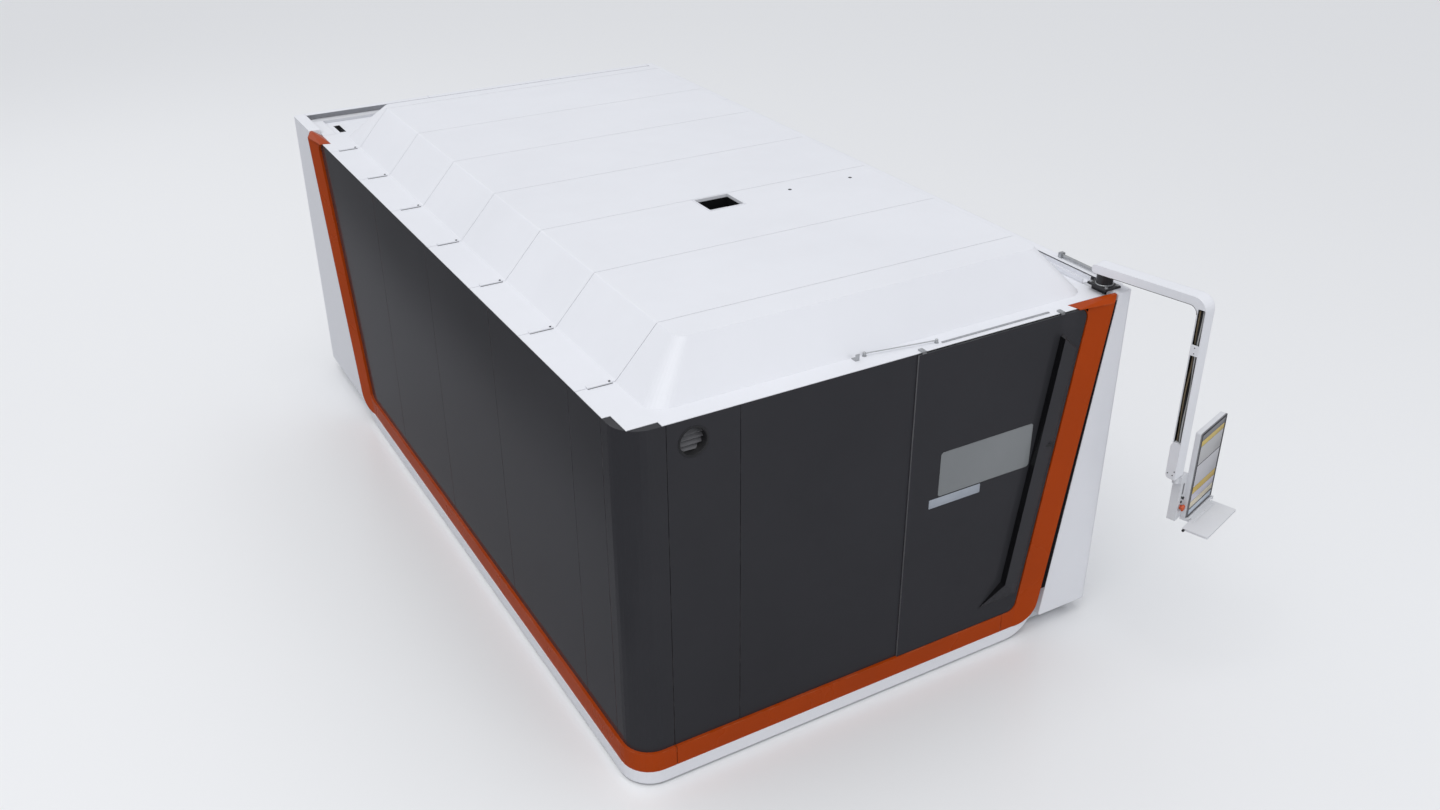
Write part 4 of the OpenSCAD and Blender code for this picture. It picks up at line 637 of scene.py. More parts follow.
@dataclass
class Studio:
    """Floor, soft light and the camera at the photograph's view, in metres, degrees and watts.

    A lamp is given as its name, its place, the point that it faces, its size and its power.
    """

    eye: Point = (-3.6118, -7.3298, 4.9778)
    yaw: float = 29.766
    pitch: float = 28.704
    roll: float = -0.338
    sensor: float = 36.0
    lens: float = 32.726
    reach: float = 200.0
    floor_size: float = 90.0
    floor_colour: Colour = (0.83, 0.835, 0.845)
    floor_rough: float = 0.3
    # colours that glossy faces mirror in place of the floor: painted reflection
    aisle_painted_reflection: Colour = (0.17, 0.17, 0.18)
    room_painted_reflection: Colour = (0.03, 0.03, 0.032)
    aisle: Pair = (-2.9, -2.2)
    sky: Colour = (0.9, 0.92, 0.96)
    sky_strength: float = 0.6
    backdrop: Colour = (0.86, 0.87, 0.88)
    ceiling_aim: Point = (0.2, 0.12, -0.95)
    ceiling_spread: float = 60.0
    ceiling_strength: float = 1.15
    lamps: Tuple[Tuple[str, Point, Point, float, float], ...] = (
        ("key_panel", (-5.0, -6.0, 9.0), (0.0, 0.5, 0.8), 7.0, 120.0),
        ("fill_panel", (3.0, -13.0, 5.0), (0.6, 0.0, 1.0), 5.0, 130.0),
        ("back_panel", (-4.0, 9.0, 8.0), (0.0, 1.0, 1.0), 7.0, 110.0))

    def build(self) -> None:
        """Makes the camera, the world, the floor, the wide bright ceiling and the lamps."""
        scene = bpy.context.scene
        scene.view_settings.view_transform = "Standard"
        self._camera(scene)
        self._world(scene)
        self._floor()
        self._light("ceiling_light", "SUN", (0.0, 0.0, 0.0), self.ceiling_aim, self.ceiling_strength,
                    angle=math.radians(self.ceiling_spread))
        for name, place, aim, size, power in self.lamps:
            self._light(name, "AREA", place, aim, power, size=size)

    def _camera(self, scene: bpy.types.Scene) -> None:
        """Stands the camera at the photograph's point of view."""
        data = bpy.data.cameras.new("photo_view")
        data.sensor_fit = "HORIZONTAL"
        data.sensor_width = self.sensor
        data.lens = self.lens
        data.clip_end = self.reach
        camera = stand("photo_view", data)
        camera.matrix_world = Matrix.Translation(Vector(self.eye))
        for angle, axis in ((-self.yaw, "Z"), (90.0 - self.pitch, "X"), (self.roll, "Z")):
            camera.matrix_world @= Matrix.Rotation(math.radians(angle), 4, axis)
        scene.camera = camera

    def _world(self, scene: bpy.types.Scene) -> None:
        """Fills the world with a soft even light, and a pale backdrop where it is looked at."""
        scene.world = bpy.data.worlds.new("soft_room")
        scene.world.use_nodes = True
        nodes = Nodes(scene.world.node_tree)
        light = nodes.tree.nodes["Background"]
        nodes.feed(light, {"Color": (*self.sky, 1.0), "Strength": self.sky_strength})
        seen = nodes.add("Background", {"Color": (*self.backdrop, 1.0)})
        rays = nodes.add("LightPath")
        looked_at = nodes.maths("MAXIMUM", rays["Is Camera Ray"], rays["Is Transmission Ray"])
        choice = nodes.add("MixShader", {"Fac": looked_at, 1: light.outputs["Background"], 2: seen["Background"]})
        nodes.feed(nodes.tree.nodes["World Output"], {"Surface": choice["Shader"]})

    def _floor(self) -> None:
        """Lays a plain pale floor whose colour in glossy rays is a painted reflection: a pale aisle beside the
        machine and a dark room beyond it.
        """
        mesh = bpy.data.meshes.new("floor")
        bm = bmesh.new()
        bmesh.ops.create_grid(bm, x_segments=1, y_segments=1, size=self.floor_size / 2.0)
        bm.to_mesh(mesh)
        bm.free()
        floor = stand("floor", mesh)
        material = bpy.data.materials.new("pale_floor")
        material.use_nodes = True
        nodes = Nodes(material.node_tree)
        across = nodes.add("SeparateXYZ", {"Vector": nodes.add("TexCoord")["Object"]})["X"]
        near = nodes.ramp(across, self.aisle, interpolation_type="SMOOTHSTEP")
        painted_reflection = nodes.blend(self.room_painted_reflection, self.aisle_painted_reflection, near)
        # glossy rays see the painted reflection, not the floor's own colour
        colour = nodes.blend(self.floor_colour, painted_reflection, nodes.add("LightPath")["Is Glossy Ray"])
        nodes.feed(nodes.tree.nodes["Principled BSDF"], {"Base Color": colour, "Roughness": self.floor_rough})
        mesh.materials.append(material)

    @staticmethod
    def _light(name: str, kind: str, place: Point, aim: Point, power: float, **shape: float) -> None:
        """Hangs one light.

        Args:
            name: The light's name.
            kind: Its type.
            place: Where it hangs.
            aim: The point that it faces.
            power: Its power in watts, or in watts per square metre for a sun.
            shape: Its size or the angle of its spread.
        """
        data = bpy.data.lights.new(name, kind)
        data.energy = power
        for label, value in shape.items():
            setattr(data, label, value)
        light = stand(name, data)
        light.location = place
        light.rotation_euler = (Vector(aim) - Vector(place)).to_track_quat("-Z", "Y").to_euler()


class Trim(ABC):
    """Details of one sub-assembly, with their sizes as fields in millimetres."""

    @abstractmethod
    def build(self, paints: Paintbox) -> None:
        """Builds the details as pieces.

        Args:
            paints: The materials.
        """


@dataclass
class RoofTrim(Trim):
    """Screws and painted shadow lines of the joint tabs, plugs, and a black sleeve of painted shade in the roof
    hatch.
    """

    tab_x: Pair = (60.0, 190.0)
    tab_w: float = 24.0
    tab_foot: float = 2103.0
    tab_top: float = 2111.0
    tab_start: float = 492.0
    tab_pitch: float = 697.0
    tab_count: int = 7
    screw_r: float = 6.0
    tab_shadow: float = 3.0
    tab_shadow_edge: float = 0.8
    roof_top: float = 2355.0
    plugs: Tuple[Pair, ...] = ((1985.0, 1745.0), (2417.0, 1741.0))
    plug: Profile = ((0.0, 2.4), (6.6, 2.0), (11.0, 0.8), (11.0, -SINK), (0.0, -SINK))
    hatch: Rounded = Rounded((1400.2, 1674.2), (1622.6, 1866.8), 4.0)
    shade_top: float = 16.0
    shade_wall: float = 2.0
    shade_depth: float = 60.0
    shade_edge: float = 0.4

    def build(self, paints: Paintbox) -> None:
        """Builds the screws, the painted shadow lines, the plugs and the painted shade sleeve."""
        screws, tab_shadows, plugs = Form(), Form(), Form()
        left, right = self.tab_x
        for index in range(self.tab_count):
            y = self.tab_start + index * self.tab_pitch
            screws.screw(WALLS.at(Side.TOP, right - 2.0 * self.screw_r, y, self.tab_top), self.screw_r)
            # grey strip along each tab's near edge: painted shadow
            foot = WALLS.at(Side.TOP, (left + right) / 2.0, y - (self.tab_w + self.tab_shadow) / 2.0, self.tab_foot)
            tab_shadows.block(foot, (right - left, self.tab_shadow, self.tab_shadow), self.tab_shadow_edge)
        screws.piece("roof_tab_screws", paints, Body.MACHINE, Slot.STEEL, DARK_STEEL)
        tab_shadows.piece("roof_tab_painted_shadows", paints, Body.MACHINE, Slot.RUBBER, SOFT_GREY)
        for x, y in self.plugs:
            plugs.turned(WALLS.at(Side.TOP, x, y, self.roof_top), self.plug)
        plugs.piece("roof_plugs", paints, Body.MACHINE, Slot.RUBBER)
        # black sleeve that darkens the hatch: painted shade
        foot = WALLS.at(Side.TOP, 0.0, 0.0, self.roof_top - self.shade_top - self.shade_depth)
        painted_shade = Form().ring(foot, self.hatch.outline(), self.shade_wall, self.shade_depth, self.shade_edge)
        painted_shade.piece("hatch_painted_shade", paints, Body.MACHINE, Slot.RUBBER, SHADE_BLACK)


@dataclass
class FlangeHardware(Trim):
    """Rod ends and rail screws on the near roof flange."""

    flange: float = 2103.0
    rod_ends: Tuple[Pair, ...] = ((1378.0, 112.0), (1775.0, 50.0))
    rod_end: Profile = ((0.0, 23.0), (4.05, 22.5), (7.2, 20.0), (9.0, 15.5), (8.55, 11.0), (6.75, 7.5), (6.75, 4.0),
                        (11.25, 4.0), (11.25, 0.2), (0.0, 0.2))
    rail_x: Pair = (1825.0, 2480.0)
    rail_y: float = 36.0
    rail_h: float = 5.0
    rail_screws: int = 6
    rail_screw_r: float = 3.2

    def build(self, paints: Paintbox) -> None:
        """Builds the rod ends and the screws."""
        ends, screws = Form(), Form()
        for x, y in self.rod_ends:
            ends.turned(WALLS.at(Side.TOP, x, y, self.flange), self.rod_end)
        ends.piece("closer_rod_ends", paints, Body.MACHINE, Slot.PLASTIC, ZINC)
        for index in range(self.rail_screws):
            x = self.rail_x[0] + index * (self.rail_x[1] - self.rail_x[0]) / (self.rail_screws - 1)
            screws.screw(WALLS.at(Side.TOP, x, self.rail_y, self.flange + self.rail_h), self.rail_screw_r)
        screws.piece("closer_rail_screws", paints, Body.MACHINE, Slot.STEEL, ZINC)


@dataclass
class GrooveShadePlates(Trim):
    """Black plates of painted shade in the grooves between the slanted orange strips and the white pillars.

    An edge of a groove is given as its place at the walls' top and its lean.
    """

    top: float = 2098.0
    foot: float = 300.0
    wall_top: float = 2100.0
    end_strip: Pair = (2889.0, 0.1446)
    end_pillar: Pair = (2934.0, 0.1337)
    side_strip: Pair = (5109.0, 0.258)
    side_pillar: Pair = (5154.0, 0.258)
    proud: float = 20.0
    thick: float = 2.0
    rim: float = 0.4

    def build(self, paints: Paintbox) -> None:
        """Builds both shade plates."""
        # black plates that darken the grooves: painted shade
        shade_plates = Form()
        shade_plates.plate(WALLS.at(Side.NEAR, 0.0, -self.proud, 0.0), self._outline(self.end_strip, self.end_pillar, 1.0),
                     self.thick, self.rim)
        shade_plates.plate(WALLS.at(Side.LEFT, -self.proud, 0.0, 0.0),
                     self._outline(self.side_strip, self.side_pillar, -1.0), self.thick, self.rim)
        shade_plates.piece("groove_painted_shade", paints, Body.MACHINE, Slot.RUBBER, SHADE_BLACK)

    def _outline(self, left: Pair, right: Pair, sense: float) -> List[Pair]:
        """Gives a shade plate's corners.

        Args:
            left: The strip's edge.
            right: The pillar's edge.
            sense: 1 where the face's own direction runs from the strip to the pillar, or -1.

        Returns:
            The corners.
        """
        corners: List[Pair] = []
        for edge, z in ((left, self.foot), (right, self.foot), (right, self.top), (left, self.top)):
            corners.append((sense * (edge[0] - (self.wall_top - z) * edge[1]), z))
        return corners


@dataclass
class EndDoorTrim(Trim):
    """Painted highlight strip on the left edge, window bead, blank plate, lock and a painted shade line along the
    pull of the near end door.

    The window's bead is given as its width, height and rim radius, the edge highlight strip and the plate's rise as
    height and radius.
    """

    face: float = -11.0
    back: float = -2.0
    left: float = 1623.0
    low: float = 212.0
    high: float = 2094.0
    edge_highlight: Pair = (1.0, 0.3)
    window: Rounded = Rounded((1817.0, 1208.0), (2447.0, 1481.0), 20.0)
    window_bead: Point = (4.0, 1.2, 0.5)
    plate: Rounded = Rounded((1762.0, 1148.0), (2107.0, 1203.0), 5.0)
    plate_rise: Pair = (1.6, 0.4)
    rivet_in: float = 9.0
    rivet_r: float = 2.6
    lock: Point = (2575.0, -17.0, 1316.0)
    barrel: Profile = ((0.0, 9.0), (9.0, 9.0), (11.0, 8.0), (19.0, 7.0), (21.0, 5.0), (21.0, -8.0), (0.0, -8.0))
    lever_at: Point = (-16.0, 0.0, 8.0)
    lever: Point = (58.0, 15.0, 8.0)
    lever_edge: float = 3.0
    # path of a black line along the pull's edges: painted shade
    pull_shade_line: Tuple[Pair, ...] = ((2580.0, 1976.0), (2689.0, 1869.0), (2467.0, 332.0), (2196.0, 332.0))
    pull_shade_line_up: float = 1.0
    pull_shade_line_r: float = 2.6

    def build(self, paints: Paintbox) -> None:
        """Builds the door's details."""
        thick, edge = self.edge_highlight
        # a lighter grey strip stands for light catching the door's left edge: painted highlight
        middle = WALLS.at(Side.LEFT, self.left, (self.face + self.back) / 2.0, (self.low + self.high) / 2.0)
        edge_highlight = Form().block(middle, (self.back - self.face, self.high - self.low, thick), edge)
        edge_highlight.piece("end_door_edge_highlight", paints, Body.END_DOOR, Slot.ALLOY, HIGHLIGHT_GREY)
        on_face = WALLS.at(Side.NEAR, 0.0, self.face, 0.0)
        bead = Form().ring(on_face, self.window.outline(), *self.window_bead)
        bead.piece("end_window_bead", paints, Body.END_DOOR, Slot.RUBBER)
        plate = Form().plate(on_face, self.plate.outline(), *self.plate_rise)
        plate.piece("end_door_plate", paints, Body.END_DOOR, Slot.ALLOY, PALE_PLATE)
        rivets = Form()
        left, low = (v + self.rivet_in for v in self.plate.low)
        right, high = (v - self.rivet_in for v in self.plate.high)
        for x, z in ((left, low), (left, high), (right, low), (right, high)):
            rivets.screw(WALLS.at(Side.NEAR, x, self.face - self.plate_rise[0], z), self.rivet_r)
        rivets.piece("end_plate_rivets", paints, Body.END_DOOR, Slot.STEEL, ZINC)
        place = WALLS.at(Side.NEAR, *self.lock)
        lock = Form().turned(place, self.barrel)
        lock.block(place @ Matrix.Translation(self.lever_at), self.lever, self.lever_edge)
        lock.piece("end_door_lock", paints, Body.END_DOOR, Slot.PLASTIC)
        # black line along the pull's edges: painted shade
        line = Form().swept(on_face, [(x, z, self.pull_shade_line_up) for x, z in self.pull_shade_line], self.pull_shade_line_r)
        line.piece("pull_edge_painted_shade", paints, Body.END_DOOR, Slot.RUBBER)


@dataclass
class ArmTrim(Trim):
    """Wires, black plates of painted shade in the channel, screws and a dark seam line, part joint and part painted
    shade, of the swing arm and bolts of its base.

    A wire is given as its place across the channel, its radius and the phase of its sway, and the bend as the two
    coordinates of its middle and its radius.
    """

    side: float = -46.0
    channel_x: Pair = (570.6, 609.4)
    channel_z: Pair = (1421.0, 2190.0)
    channel_back: float = 41.5
    shade_depth: float = 80.0
    shade_back: float = 1.2
    shade_wall: float = 1.0
    shade_edge: float = 0.3
    wires: Tuple[Point, ...] = ((577.0, 4.6, 0.0), (585.5, 3.6, 1.3), (594.5, 4.6, 2.4), (603.0, 4.2, 3.6))
    wire_y: float = -26.0
    wire_in: float = 2.0
    wire_steps: int = 24
    sway: Pair = (1.2, 5.0)
    sway_step: Pair = (0.55, 0.4)
    foot_screws: Tuple[Pair, ...] = ((569.0, 1227.0), (598.0, 1222.0), (606.0, 1246.0))
    foot_screw_r: float = 3.6
    clip_screws: Tuple[Pair, ...] = ((590.0, 1955.0), (590.0, 1987.0))
    clip_screw_r: float = 3.0
    bend: Point = (521.0, 2167.0, 45.0)
    bend_steps: int = 8
    seam_shade_start: float = 62.0
    seam_shade_r: float = 1.4
    base_top: float = 2150.0
    base_bolts: Pair = (40.0, 56.0)
    bolt: Profile = ((0.0, 8.0), (5.0, 8.0), (7.5, 7.0), (8.5, 5.0), (8.5, 1.6), (11.5, 1.6), (11.5, -SINK),
                     (0.0, -SINK))
    collar: Profile = ((45.2, 1.0), (49.0, 1.0), (49.0, 5.0), (47.5, 7.0), (45.2, 7.0))

    def build(self, paints: Paintbox) -> None:
        """Builds the arm's details and its base's."""
        self._channel(paints)
        face = ARM.at(Side.NEAR, 0.0, self.side, 0.0)
        screws, bolts = Form(), Form()
        for places, radius in ((self.foot_screws, self.foot_screw_r), (self.clip_screws, self.clip_screw_r)):
            for x, z in places:
                screws.screw(face @ Matrix.Translation((x, z, 0.0)), radius)
        screws.piece("arm_screws", paints, Body.ARM, Slot.STEEL, DARK_STEEL)
        # dark line along the arm's lower edge and inner bend: part seam, part painted shade of the gap
        x, z, r = self.bend
        path: List[Point] = [(self.seam_shade_start, z + r, 0.0)]
        for step in range(self.bend_steps + 1):
            angle = step * math.pi / 2.0 / self.bend_steps
            path.append((x + r * math.sin(angle), z + r * math.cos(angle), 0.0))
        Form().swept(face, path, self.seam_shade_r, sides=8).piece("arm_seam_and_shade", paints, Body.ARM, Slot.RUBBER)
        along, across = self.base_bolts
        for x, y in ((-along, -across), (-along, across), (along, -across), (along, across)):
            bolts.turned(WALLS.at(Side.TOP, ARM.x + x, ARM.y + y, self.base_top), self.bolt, steps=6)
        bolts.turned(WALLS.at(Side.TOP, ARM.x, ARM.y, self.base_top), self.collar, closed=True)
        bolts.piece("arm_base_bolts", paints, Body.MACHINE, Slot.STEEL, ZINC)

    def _channel(self, paints: Paintbox) -> None:
        """Lines the cable channel with black plates of painted shade and lays the wires in it."""
        low, high = self.channel_z
        left, right = self.channel_x
        middle, tall = (low + high) / 2.0, high - low
        # black plates that darken the channel: painted shade
        painted_shade = Form().block(ARM.at(Side.NEAR, (left + right) / 2.0, self.channel_back, middle),
                             (right - left, tall, self.shade_back), self.shade_edge)
        for x, side in ((left, Side.RIGHT), (right, Side.LEFT)):
            painted_shade.block(ARM.at(side, x, 0.0, middle), (self.shade_depth, tall, self.shade_wall), self.shade_edge)
        painted_shade.piece("arm_channel_painted_shade", paints, Body.ARM, Slot.RUBBER, SHADE_BLACK)
        looks = (WIRE_OCHRE, None, WIRE_WHITE, None)
        for index, ((x, radius, phase), look) in enumerate(zip(self.wires, looks)):
            path: List[Point] = []
            for step in range(self.wire_steps + 1):
                path.append((x + self.sway[0] * math.sin(phase + step * self.sway_step[0]),
                             self.wire_y + self.sway[1] * math.cos(phase + step * self.sway_step[1]),
                             low + self.wire_in + step * (tall - 2.0 * self.wire_in) / self.wire_steps))
            wire = Form().swept(ARM.at(Side.TOP, 0.0, 0.0, 0.0), path, radius)
            wire.piece(f"arm_wire_{index + 1}", paints, Body.ARM, Slot.RUBBER, look)
        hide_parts("arm_cables")


@dataclass
class ConsoleTrim(Trim):
    """Bezel, display, buttons and screws of the console and the tray's knob.

    A row of the display is given as its name, its colour and the shares of the height where it starts and ends, and
    its form as height and radius. The rise of the stop button's collar is given as width, height and rim radius.
    """

    glass: float = 68.0
    shell_front: float = 62.0
    shell_back: float = 32.0
    shell: Rounded = Rounded((82.0, 897.5), (403.0, 1437.5), 6.0)
    bezel: float = 9.0
    bezel_h: float = 7.6
    bezel_edge: float = 1.0
    screen_low: Pair = (89.5, 905.0)
    screen_high: Pair = (395.5, 1430.0)
    row_r: float = 1.0
    row_steps: int = 2
    row: Pair = (0.3, 0.1)
    rows: Tuple[Tuple[str, Colour, float, float], ...] = (
        ("footer", (0.42, 0.47, 0.54), 0.0, 0.06), ("keys", (0.55, 0.5, 0.38), 0.082, 0.158),
        ("tools", (0.46, 0.45, 0.52), 0.162, 0.258), ("rates", (0.5, 0.36, 0.1), 0.262, 0.348),
        ("notes", (0.47, 0.47, 0.5), 0.352, 0.618), ("sheet", (0.43, 0.43, 0.44), 0.63, 0.858),
        ("tabs", (0.55, 0.42, 0.14), 0.862, 0.93), ("header", (0.2, 0.2, 0.21), 0.934, 1.0))
    strip: float = 32.0
    button_y: float = 49.5
    slot_z: Pair = (1058.0, 1128.0)
    slot_w: float = 15.0
    slot_h: float = 2.6
    slot_edge: float = 1.2
    pilot_z: float = 1009.0
    pilot: Profile = ((0.0, 7.0), (3.5, 6.4), (5.5, 4.6), (5.8, 2.4), (8.0, 2.0), (8.0, -SINK), (0.0, -SINK))
    stop_z: float = 975.0
    stop: Profile = ((0.0, 28.0), (7.0, 27.7), (13.0, 26.4), (17.5, 23.6), (20.0, 19.0), (19.6, 15.0), (18.0, 12.2),
                     (12.0, 12.0), (12.0, -11.5), (0.0, -11.5))
    collar: Rounded = Rounded((-25.0, -25.0), (25.0, 25.0), 24.9, 8)
    collar_rise: Point = (9.0, 1.8, 0.6)
    start_z: float = 1037.0
    start: Profile = ((0.0, 12.2), (5.5, 12.4), (7.6, 13.0), (9.0, 12.0), (9.0, 6.4), (6.0, 6.0), (6.0, -5.8),
                      (0.0, -5.8))
    back_screw_y: Point = (112.0, 250.0, 384.0)
    back_screw_z: Pair = (920.0, 1415.0)
    back_screw_r: float = 4.0
    knob_at: Point = (104.0, -20.5, 890.0)
    knob: Profile = ((0.0, 17.0), (5.5, 17.0), (7.5, 15.5), (8.0, 7.0), (6.0, 5.0), (4.0, 4.0), (4.0, -0.5),
                     (0.0, -0.5))

    def build(self, paints: Paintbox) -> None:
        """Builds the console's details."""
        bezel = Form().ring(CONSOLE.at(Side.RIGHT, self.shell_front, 0.0, 0.0), self.shell.outline(), self.bezel,
                            self.bezel_h, self.bezel_edge)
        bezel.piece("screen_bezel", paints, Body.CONSOLE, Slot.PLASTIC, SOFT_GREY)
        self._display(paints)
        self._buttons(paints)
        screws = Form()
        for y in self.back_screw_y:
            for z in self.back_screw_z:
                screws.screw(CONSOLE.at(Side.LEFT, self.shell_back, y, z), self.back_screw_r)
        screws.piece("console_back_screws", paints, Body.CONSOLE, Slot.STEEL, ZINC)
        knob = Form().turned(CONSOLE.at(Side.NEAR, *self.knob_at), self.knob)
        knob.piece("tray_knob", paints, Body.TRAY, Slot.PLASTIC)

    def _display(self, paints: Paintbox) -> None:
        """Fills the screen with plain blocks of colour."""
        front = CONSOLE.at(Side.RIGHT, self.glass, 0.0, 0.0)
        left, low = (v + self.bezel for v in self.screen_low)
        right, high = (v - self.bezel for v in self.screen_high)
        for name, colour, start, end in self.rows:
            look = replace(DISPLAY, name=f"display_{name}", colour=colour, tone=colour)
            area = Rounded((left, low + start * (high - low)), (right, low + end * (high - low)), self.row_r,
                           self.row_steps)
            row = Form().plate(front, area.outline(), *self.row)
            row.piece(f"display_{name}", paints, Body.CONSOLE, Slot.SCREEN, look)

    def _buttons(self, paints: Paintbox) -> None:
        """Builds the strip's slot cover, pilot lamp, stop button and start button."""
        middle = CONSOLE.at(Side.RIGHT, self.strip, self.button_y, 0.0)
        low, high = self.slot_z
        cover = Form().block(middle @ Matrix.Translation((0.0, (low + high) / 2.0, -SINK)),
                             (self.slot_w, high - low, self.slot_h), self.slot_edge)
        cover.ring(middle @ Matrix.Translation((0.0, self.stop_z, -SINK)), self.collar.outline(), *self.collar_rise)
        cover.piece("console_slot_cover", paints, Body.CONSOLE, Slot.PLASTIC, SOFT_GREY)
        pilot = Form().turned(middle @ Matrix.Translation((0.0, self.pilot_z, 0.0)), self.pilot)
        pilot.piece("console_pilot", paints, Body.CONSOLE, Slot.PLASTIC)
        stop = Form().turned(middle @ Matrix.Translation((0.0, self.stop_z, 0.0)), self.stop, steps=32)
        made = stop.piece("stop_button_mushroom", paints, Body.STOP_BUTTON, Slot.STOP)
        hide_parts("stop_button")
        start = Form().turned(middle @ Matrix.Translation((0.0, self.start_z, 0.0)), self.start, steps=32)
        made = start.piece("start_button_cap", paints, Body.START_BUTTON, Slot.PLASTIC)
        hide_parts("start_button")


@dataclass
class OperatorSideTrim(Trim):
    """Window bead, pull cup, latch and screws of the operator side.

    The window's bead is given as its width, height and rim radius, and the cup's floor as its height and radius.
    """

    door_face: float = 3080.0
    window: Rounded = Rounded((1260.0, 1050.0), (2240.0, 1670.0), 30.0)
    window_bead: Point = (14.0, 2.5, 1.0)
    recess: Rounded = Rounded((1061.0, 1051.0), (1119.0, 1469.0), 3.0)
    recess_depth: float = 16.0
    cup_floor: Pair = (1.0, 0.4)
    cup_wall: float = 2.0
    cup_proud: float = 1.5
    cup_edge: float = 0.6
    wall: float = 3050.0
    latch: Point = (3068.0, 4433.0, 1130.0)
    lever_at: Point = (0.0, -14.0, 0.0)
    lever: Point = (15.0, 112.0, 9.0)
    lever_edge: float = 3.0
    boss_at: Point = (0.0, 60.0, 0.0)
    boss: Profile = ((0.0, 3.0), (3.0, 3.0), (3.4, 5.0), (8.0, 5.0), (9.5, 3.6), (9.5, -SINK), (0.0, -SINK))
    panel_screw_y: Tuple[float, ...] = (90.0, 970.0, 4270.0, 5130.0, 5590.0)
    panel_screw_z: Point = (130.0, 1119.0, 2108.0)
    panel_screw_r: float = 7.0
    hinge_y: float = 5100.0
    hinge_z: Point = (304.6, 1079.0, 1853.4)
    leaf: float = 3.0
    leaf_screw_y: float = 20.0
    leaf_screw_z: Pair = (10.0, 30.0)
    leaf_screw_r: float = 4.0
    door_leaf_up: float = 40.0

    def build(self, paints: Paintbox) -> None:
        """Builds the side's details."""
        face = WALLS.at(Side.RIGHT, self.door_face, 0.0, 0.0)
        bead = Form().ring(face, self.window.outline(), *self.window_bead)
        bead.piece("operator_window_bead", paints, Body.OPERATOR_DOOR, Slot.RUBBER)
        back = WALLS.at(Side.RIGHT, self.door_face - self.recess_depth, 0.0, 0.0)
        outline = self.recess.outline()
        cup = Form().plate(back, outline, *self.cup_floor)
        cup.ring(back, outline, self.cup_wall, self.recess_depth + self.cup_proud, self.cup_edge)
        cup.piece("operator_pull_cup", paints, Body.OPERATOR_DOOR, Slot.PLASTIC)
        place = WALLS.at(Side.RIGHT, *self.latch)
        latch = Form().block(place @ Matrix.Translation(self.lever_at), self.lever, self.lever_edge)
        latch.turned(place @ Matrix.Translation(self.boss_at), self.boss)
        latch.piece("cabinet_latch_lever", paints, Body.CABINET_DOOR, Slot.PLASTIC)
        self._screws(paints)

    def _screws(self, paints: Paintbox) -> None:
        """Builds the screws of the panels and the cabinet's hinges."""
        panels, fixed, moving = Form(), Form(), Form()
        for z in self.panel_screw_z:
            for y in self.panel_screw_y:
                panels.screw(WALLS.at(Side.RIGHT, self.wall, y, z), self.panel_screw_r)
        panels.piece("panel_screws", paints, Body.MACHINE, Slot.STEEL, ZINC)
        x, y = self.wall + self.leaf, self.hinge_y
        for foot in self.hinge_z:
            for z in (foot + up for up in self.leaf_screw_z):
                fixed.screw(WALLS.at(Side.RIGHT, x, y + self.leaf_screw_y, z), self.leaf_screw_r)
                moving.screw(WALLS.at(Side.RIGHT, x, y - self.leaf_screw_y, z + self.door_leaf_up), self.leaf_screw_r)
        fixed.piece("hinge_screws_wall", paints, Body.MACHINE, Slot.STEEL, ZINC)
        moving.piece("hinge_screws_door", paints, Body.CABINET_DOOR, Slot.STEEL, ZINC)


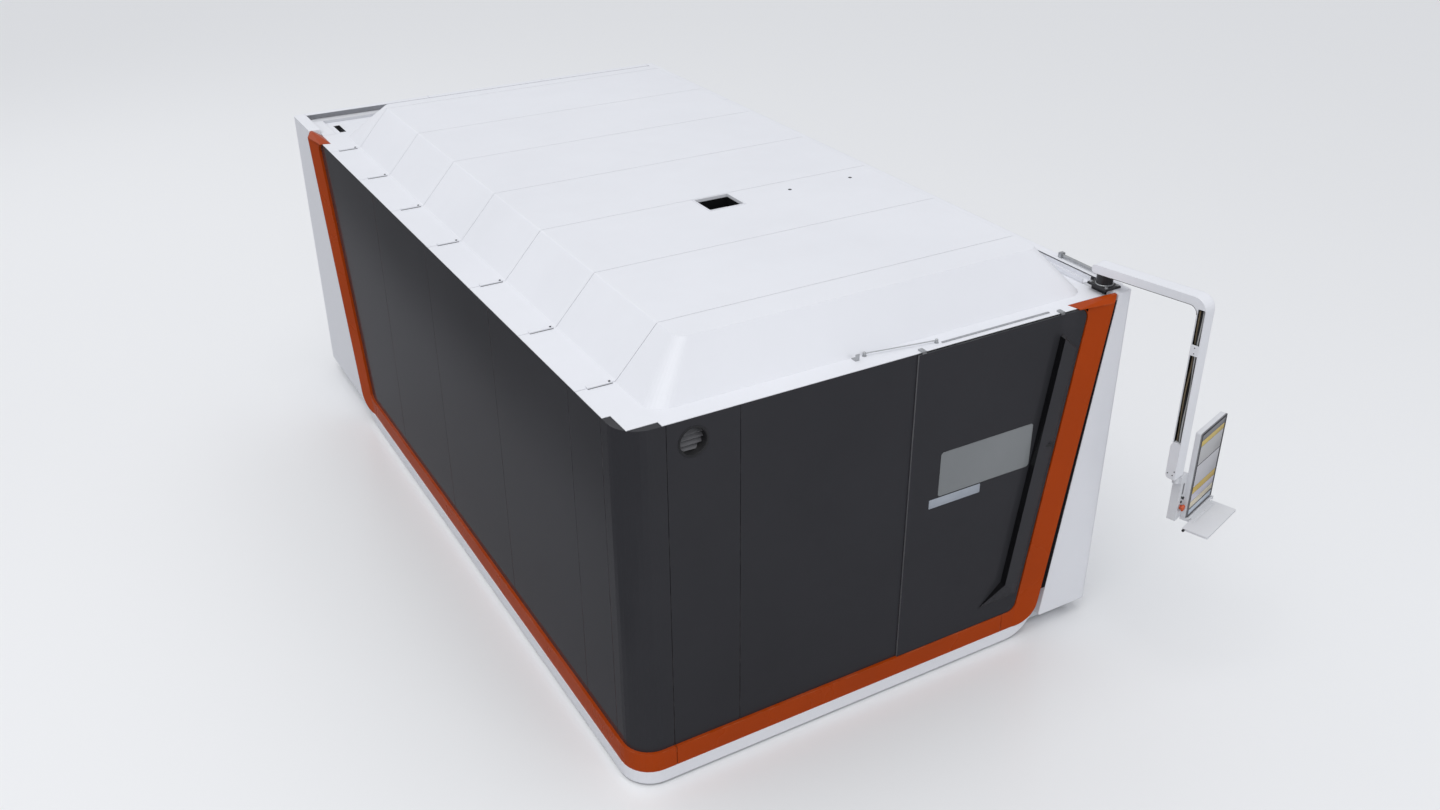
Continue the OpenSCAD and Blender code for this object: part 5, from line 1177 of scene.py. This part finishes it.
@dataclass
class CuttingTrim(Trim):
    """Nozzle, rings, drawer and fittings of the cutting head."""

    axis: Pair = (1525.0, 1424.4)
    radius: float = 45.0
    tip: float = 770.0
    nozzle: Profile = ((2.0, 0.2), (6.0, 0.2), (7.5, 3.0), (15.0, 24.0), (16.5, 25.0), (16.5, 29.0), (2.0, 29.0))
    ceramic: Profile = ((10.0, 29.2), (18.0, 29.2), (20.5, 32.0), (20.5, 40.0), (22.0, 42.0), (10.0, 42.0))
    band_z: Tuple[float, ...] = (892.0, 962.0, 1046.0, 1128.0, 1200.0)
    band: Profile = ((44.0, 0.0), (46.6, 0.0), (47.2, 1.0), (47.2, 5.0), (46.6, 6.0), (44.0, 6.0))
    drawer_z: float = 1004.0
    drawer_seat: float = 6.0
    drawer: Point = (58.0, 40.0, 16.0)
    drawer_edge: float = 2.0
    grip: Point = (26.0, 10.0, 8.0)
    grip_edge: float = 2.5
    fitting_z: Pair = (925.0, 1085.0)
    fitting_seat: float = 2.0
    fitting: Profile = ((0.0, 20.0), (3.2, 20.0), (3.2, 12.0), (7.0, 11.0), (7.0, 5.0), (9.0, 4.0), (9.0, 0.0),
                        (0.0, 0.0))

    def build(self, paints: Paintbox) -> None:
        """Builds the head's details."""
        x, y = self.axis
        tip = WALLS.at(Side.TOP, x, y, self.tip)
        nozzle = Form().turned(tip, self.nozzle, closed=True)
        nozzle.piece("cutting_nozzle", paints, Body.HEAD, Slot.ALLOY, COPPER)
        ceramic = Form().turned(tip, self.ceramic, closed=True)
        ceramic.piece("nozzle_ceramic", paints, Body.HEAD, Slot.WHITE, CERAMIC)
        bands = Form()
        for z in self.band_z:
            bands.turned(WALLS.at(Side.TOP, x, y, z), self.band, closed=True, steps=32)
        bands.piece("head_bands", paints, Body.HEAD, Slot.STEEL, DARK_STEEL)
        front = WALLS.at(Side.NEAR, x, y - self.radius + self.drawer_seat, self.drawer_z)
        drawer = Form().block(front, self.drawer, self.drawer_edge)
        drawer.block(front @ Matrix.Translation((0.0, 0.0, self.drawer[2])), self.grip, self.grip_edge)
        out = self.radius - self.fitting_seat
        for z in self.fitting_z:
            for side, place in ((Side.LEFT, x - out), (Side.RIGHT, x + out)):
                drawer.turned(WALLS.at(side, place, y, z), self.fitting, steps=12)
        drawer.piece("head_lens_drawer", paints, Body.HEAD, Slot.STEEL, ZINC)


def paint_faces(node: bpy.types.Object, material: bpy.types.Material,
                chosen: Callable[[bpy.types.MeshPolygon], bool]) -> None:
    """Gives some faces of a CAD node a material of their own.

    Args:
        node: The CAD node.
        material: The faces' material.
        chosen: Whether a face gets it.
    """
    node.data.materials.append(material)
    for face in node.data.polygons:
        face.material_index = 1 if chosen(face) else 0


def dress_nodes(frame: Dict[str, object], paints: Paintbox) -> None:
    """Gives every CAD node the finish of its record slot, or its own look.

    Args:
        paints: The materials.
    """
    for part in frame["record"]["subparts"]:
        node = frame["nodes"][part["node"]]
        node.data.materials.clear()
        look = NODE_LOOKS.get(part["node"], FINISHES[Slot(part["material_slot"])])
        node.data.materials.append(paints.make(look))
        LOG.info("dressed %s with %s", part["node"], look.name)
    # the pull's steep flank is painted near black as shade
    paint_faces(frame["nodes"]["end_door_pull"], paints.make(PULL_FLANK_SHADE), lambda face: face.normal.x < SHADED_FLANK_FACING)
    vent = corner(*VENT)
    paint_faces(frame["nodes"]["vent_grille"], paints.make(SOFT_GREY),
                lambda face: math.hypot(face.center.x - vent.x, face.center.z - vent.z) < VENT_R * MM)


def main() -> None:
    """Loads the frame, dresses it and adds the detail pieces."""
    logging.basicConfig(level=logging.INFO, format="%(message)s")
    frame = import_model()
    paints = Paintbox()
    Studio().build()
    dress_nodes(frame, paints)
    for trim in (RoofTrim(), FlangeHardware(), GrooveShadePlates(), EndDoorTrim(), ArmTrim(), ConsoleTrim(),
                 OperatorSideTrim(), CuttingTrim()):
        trim.build(paints)


if __name__ == "__main__":
    main()
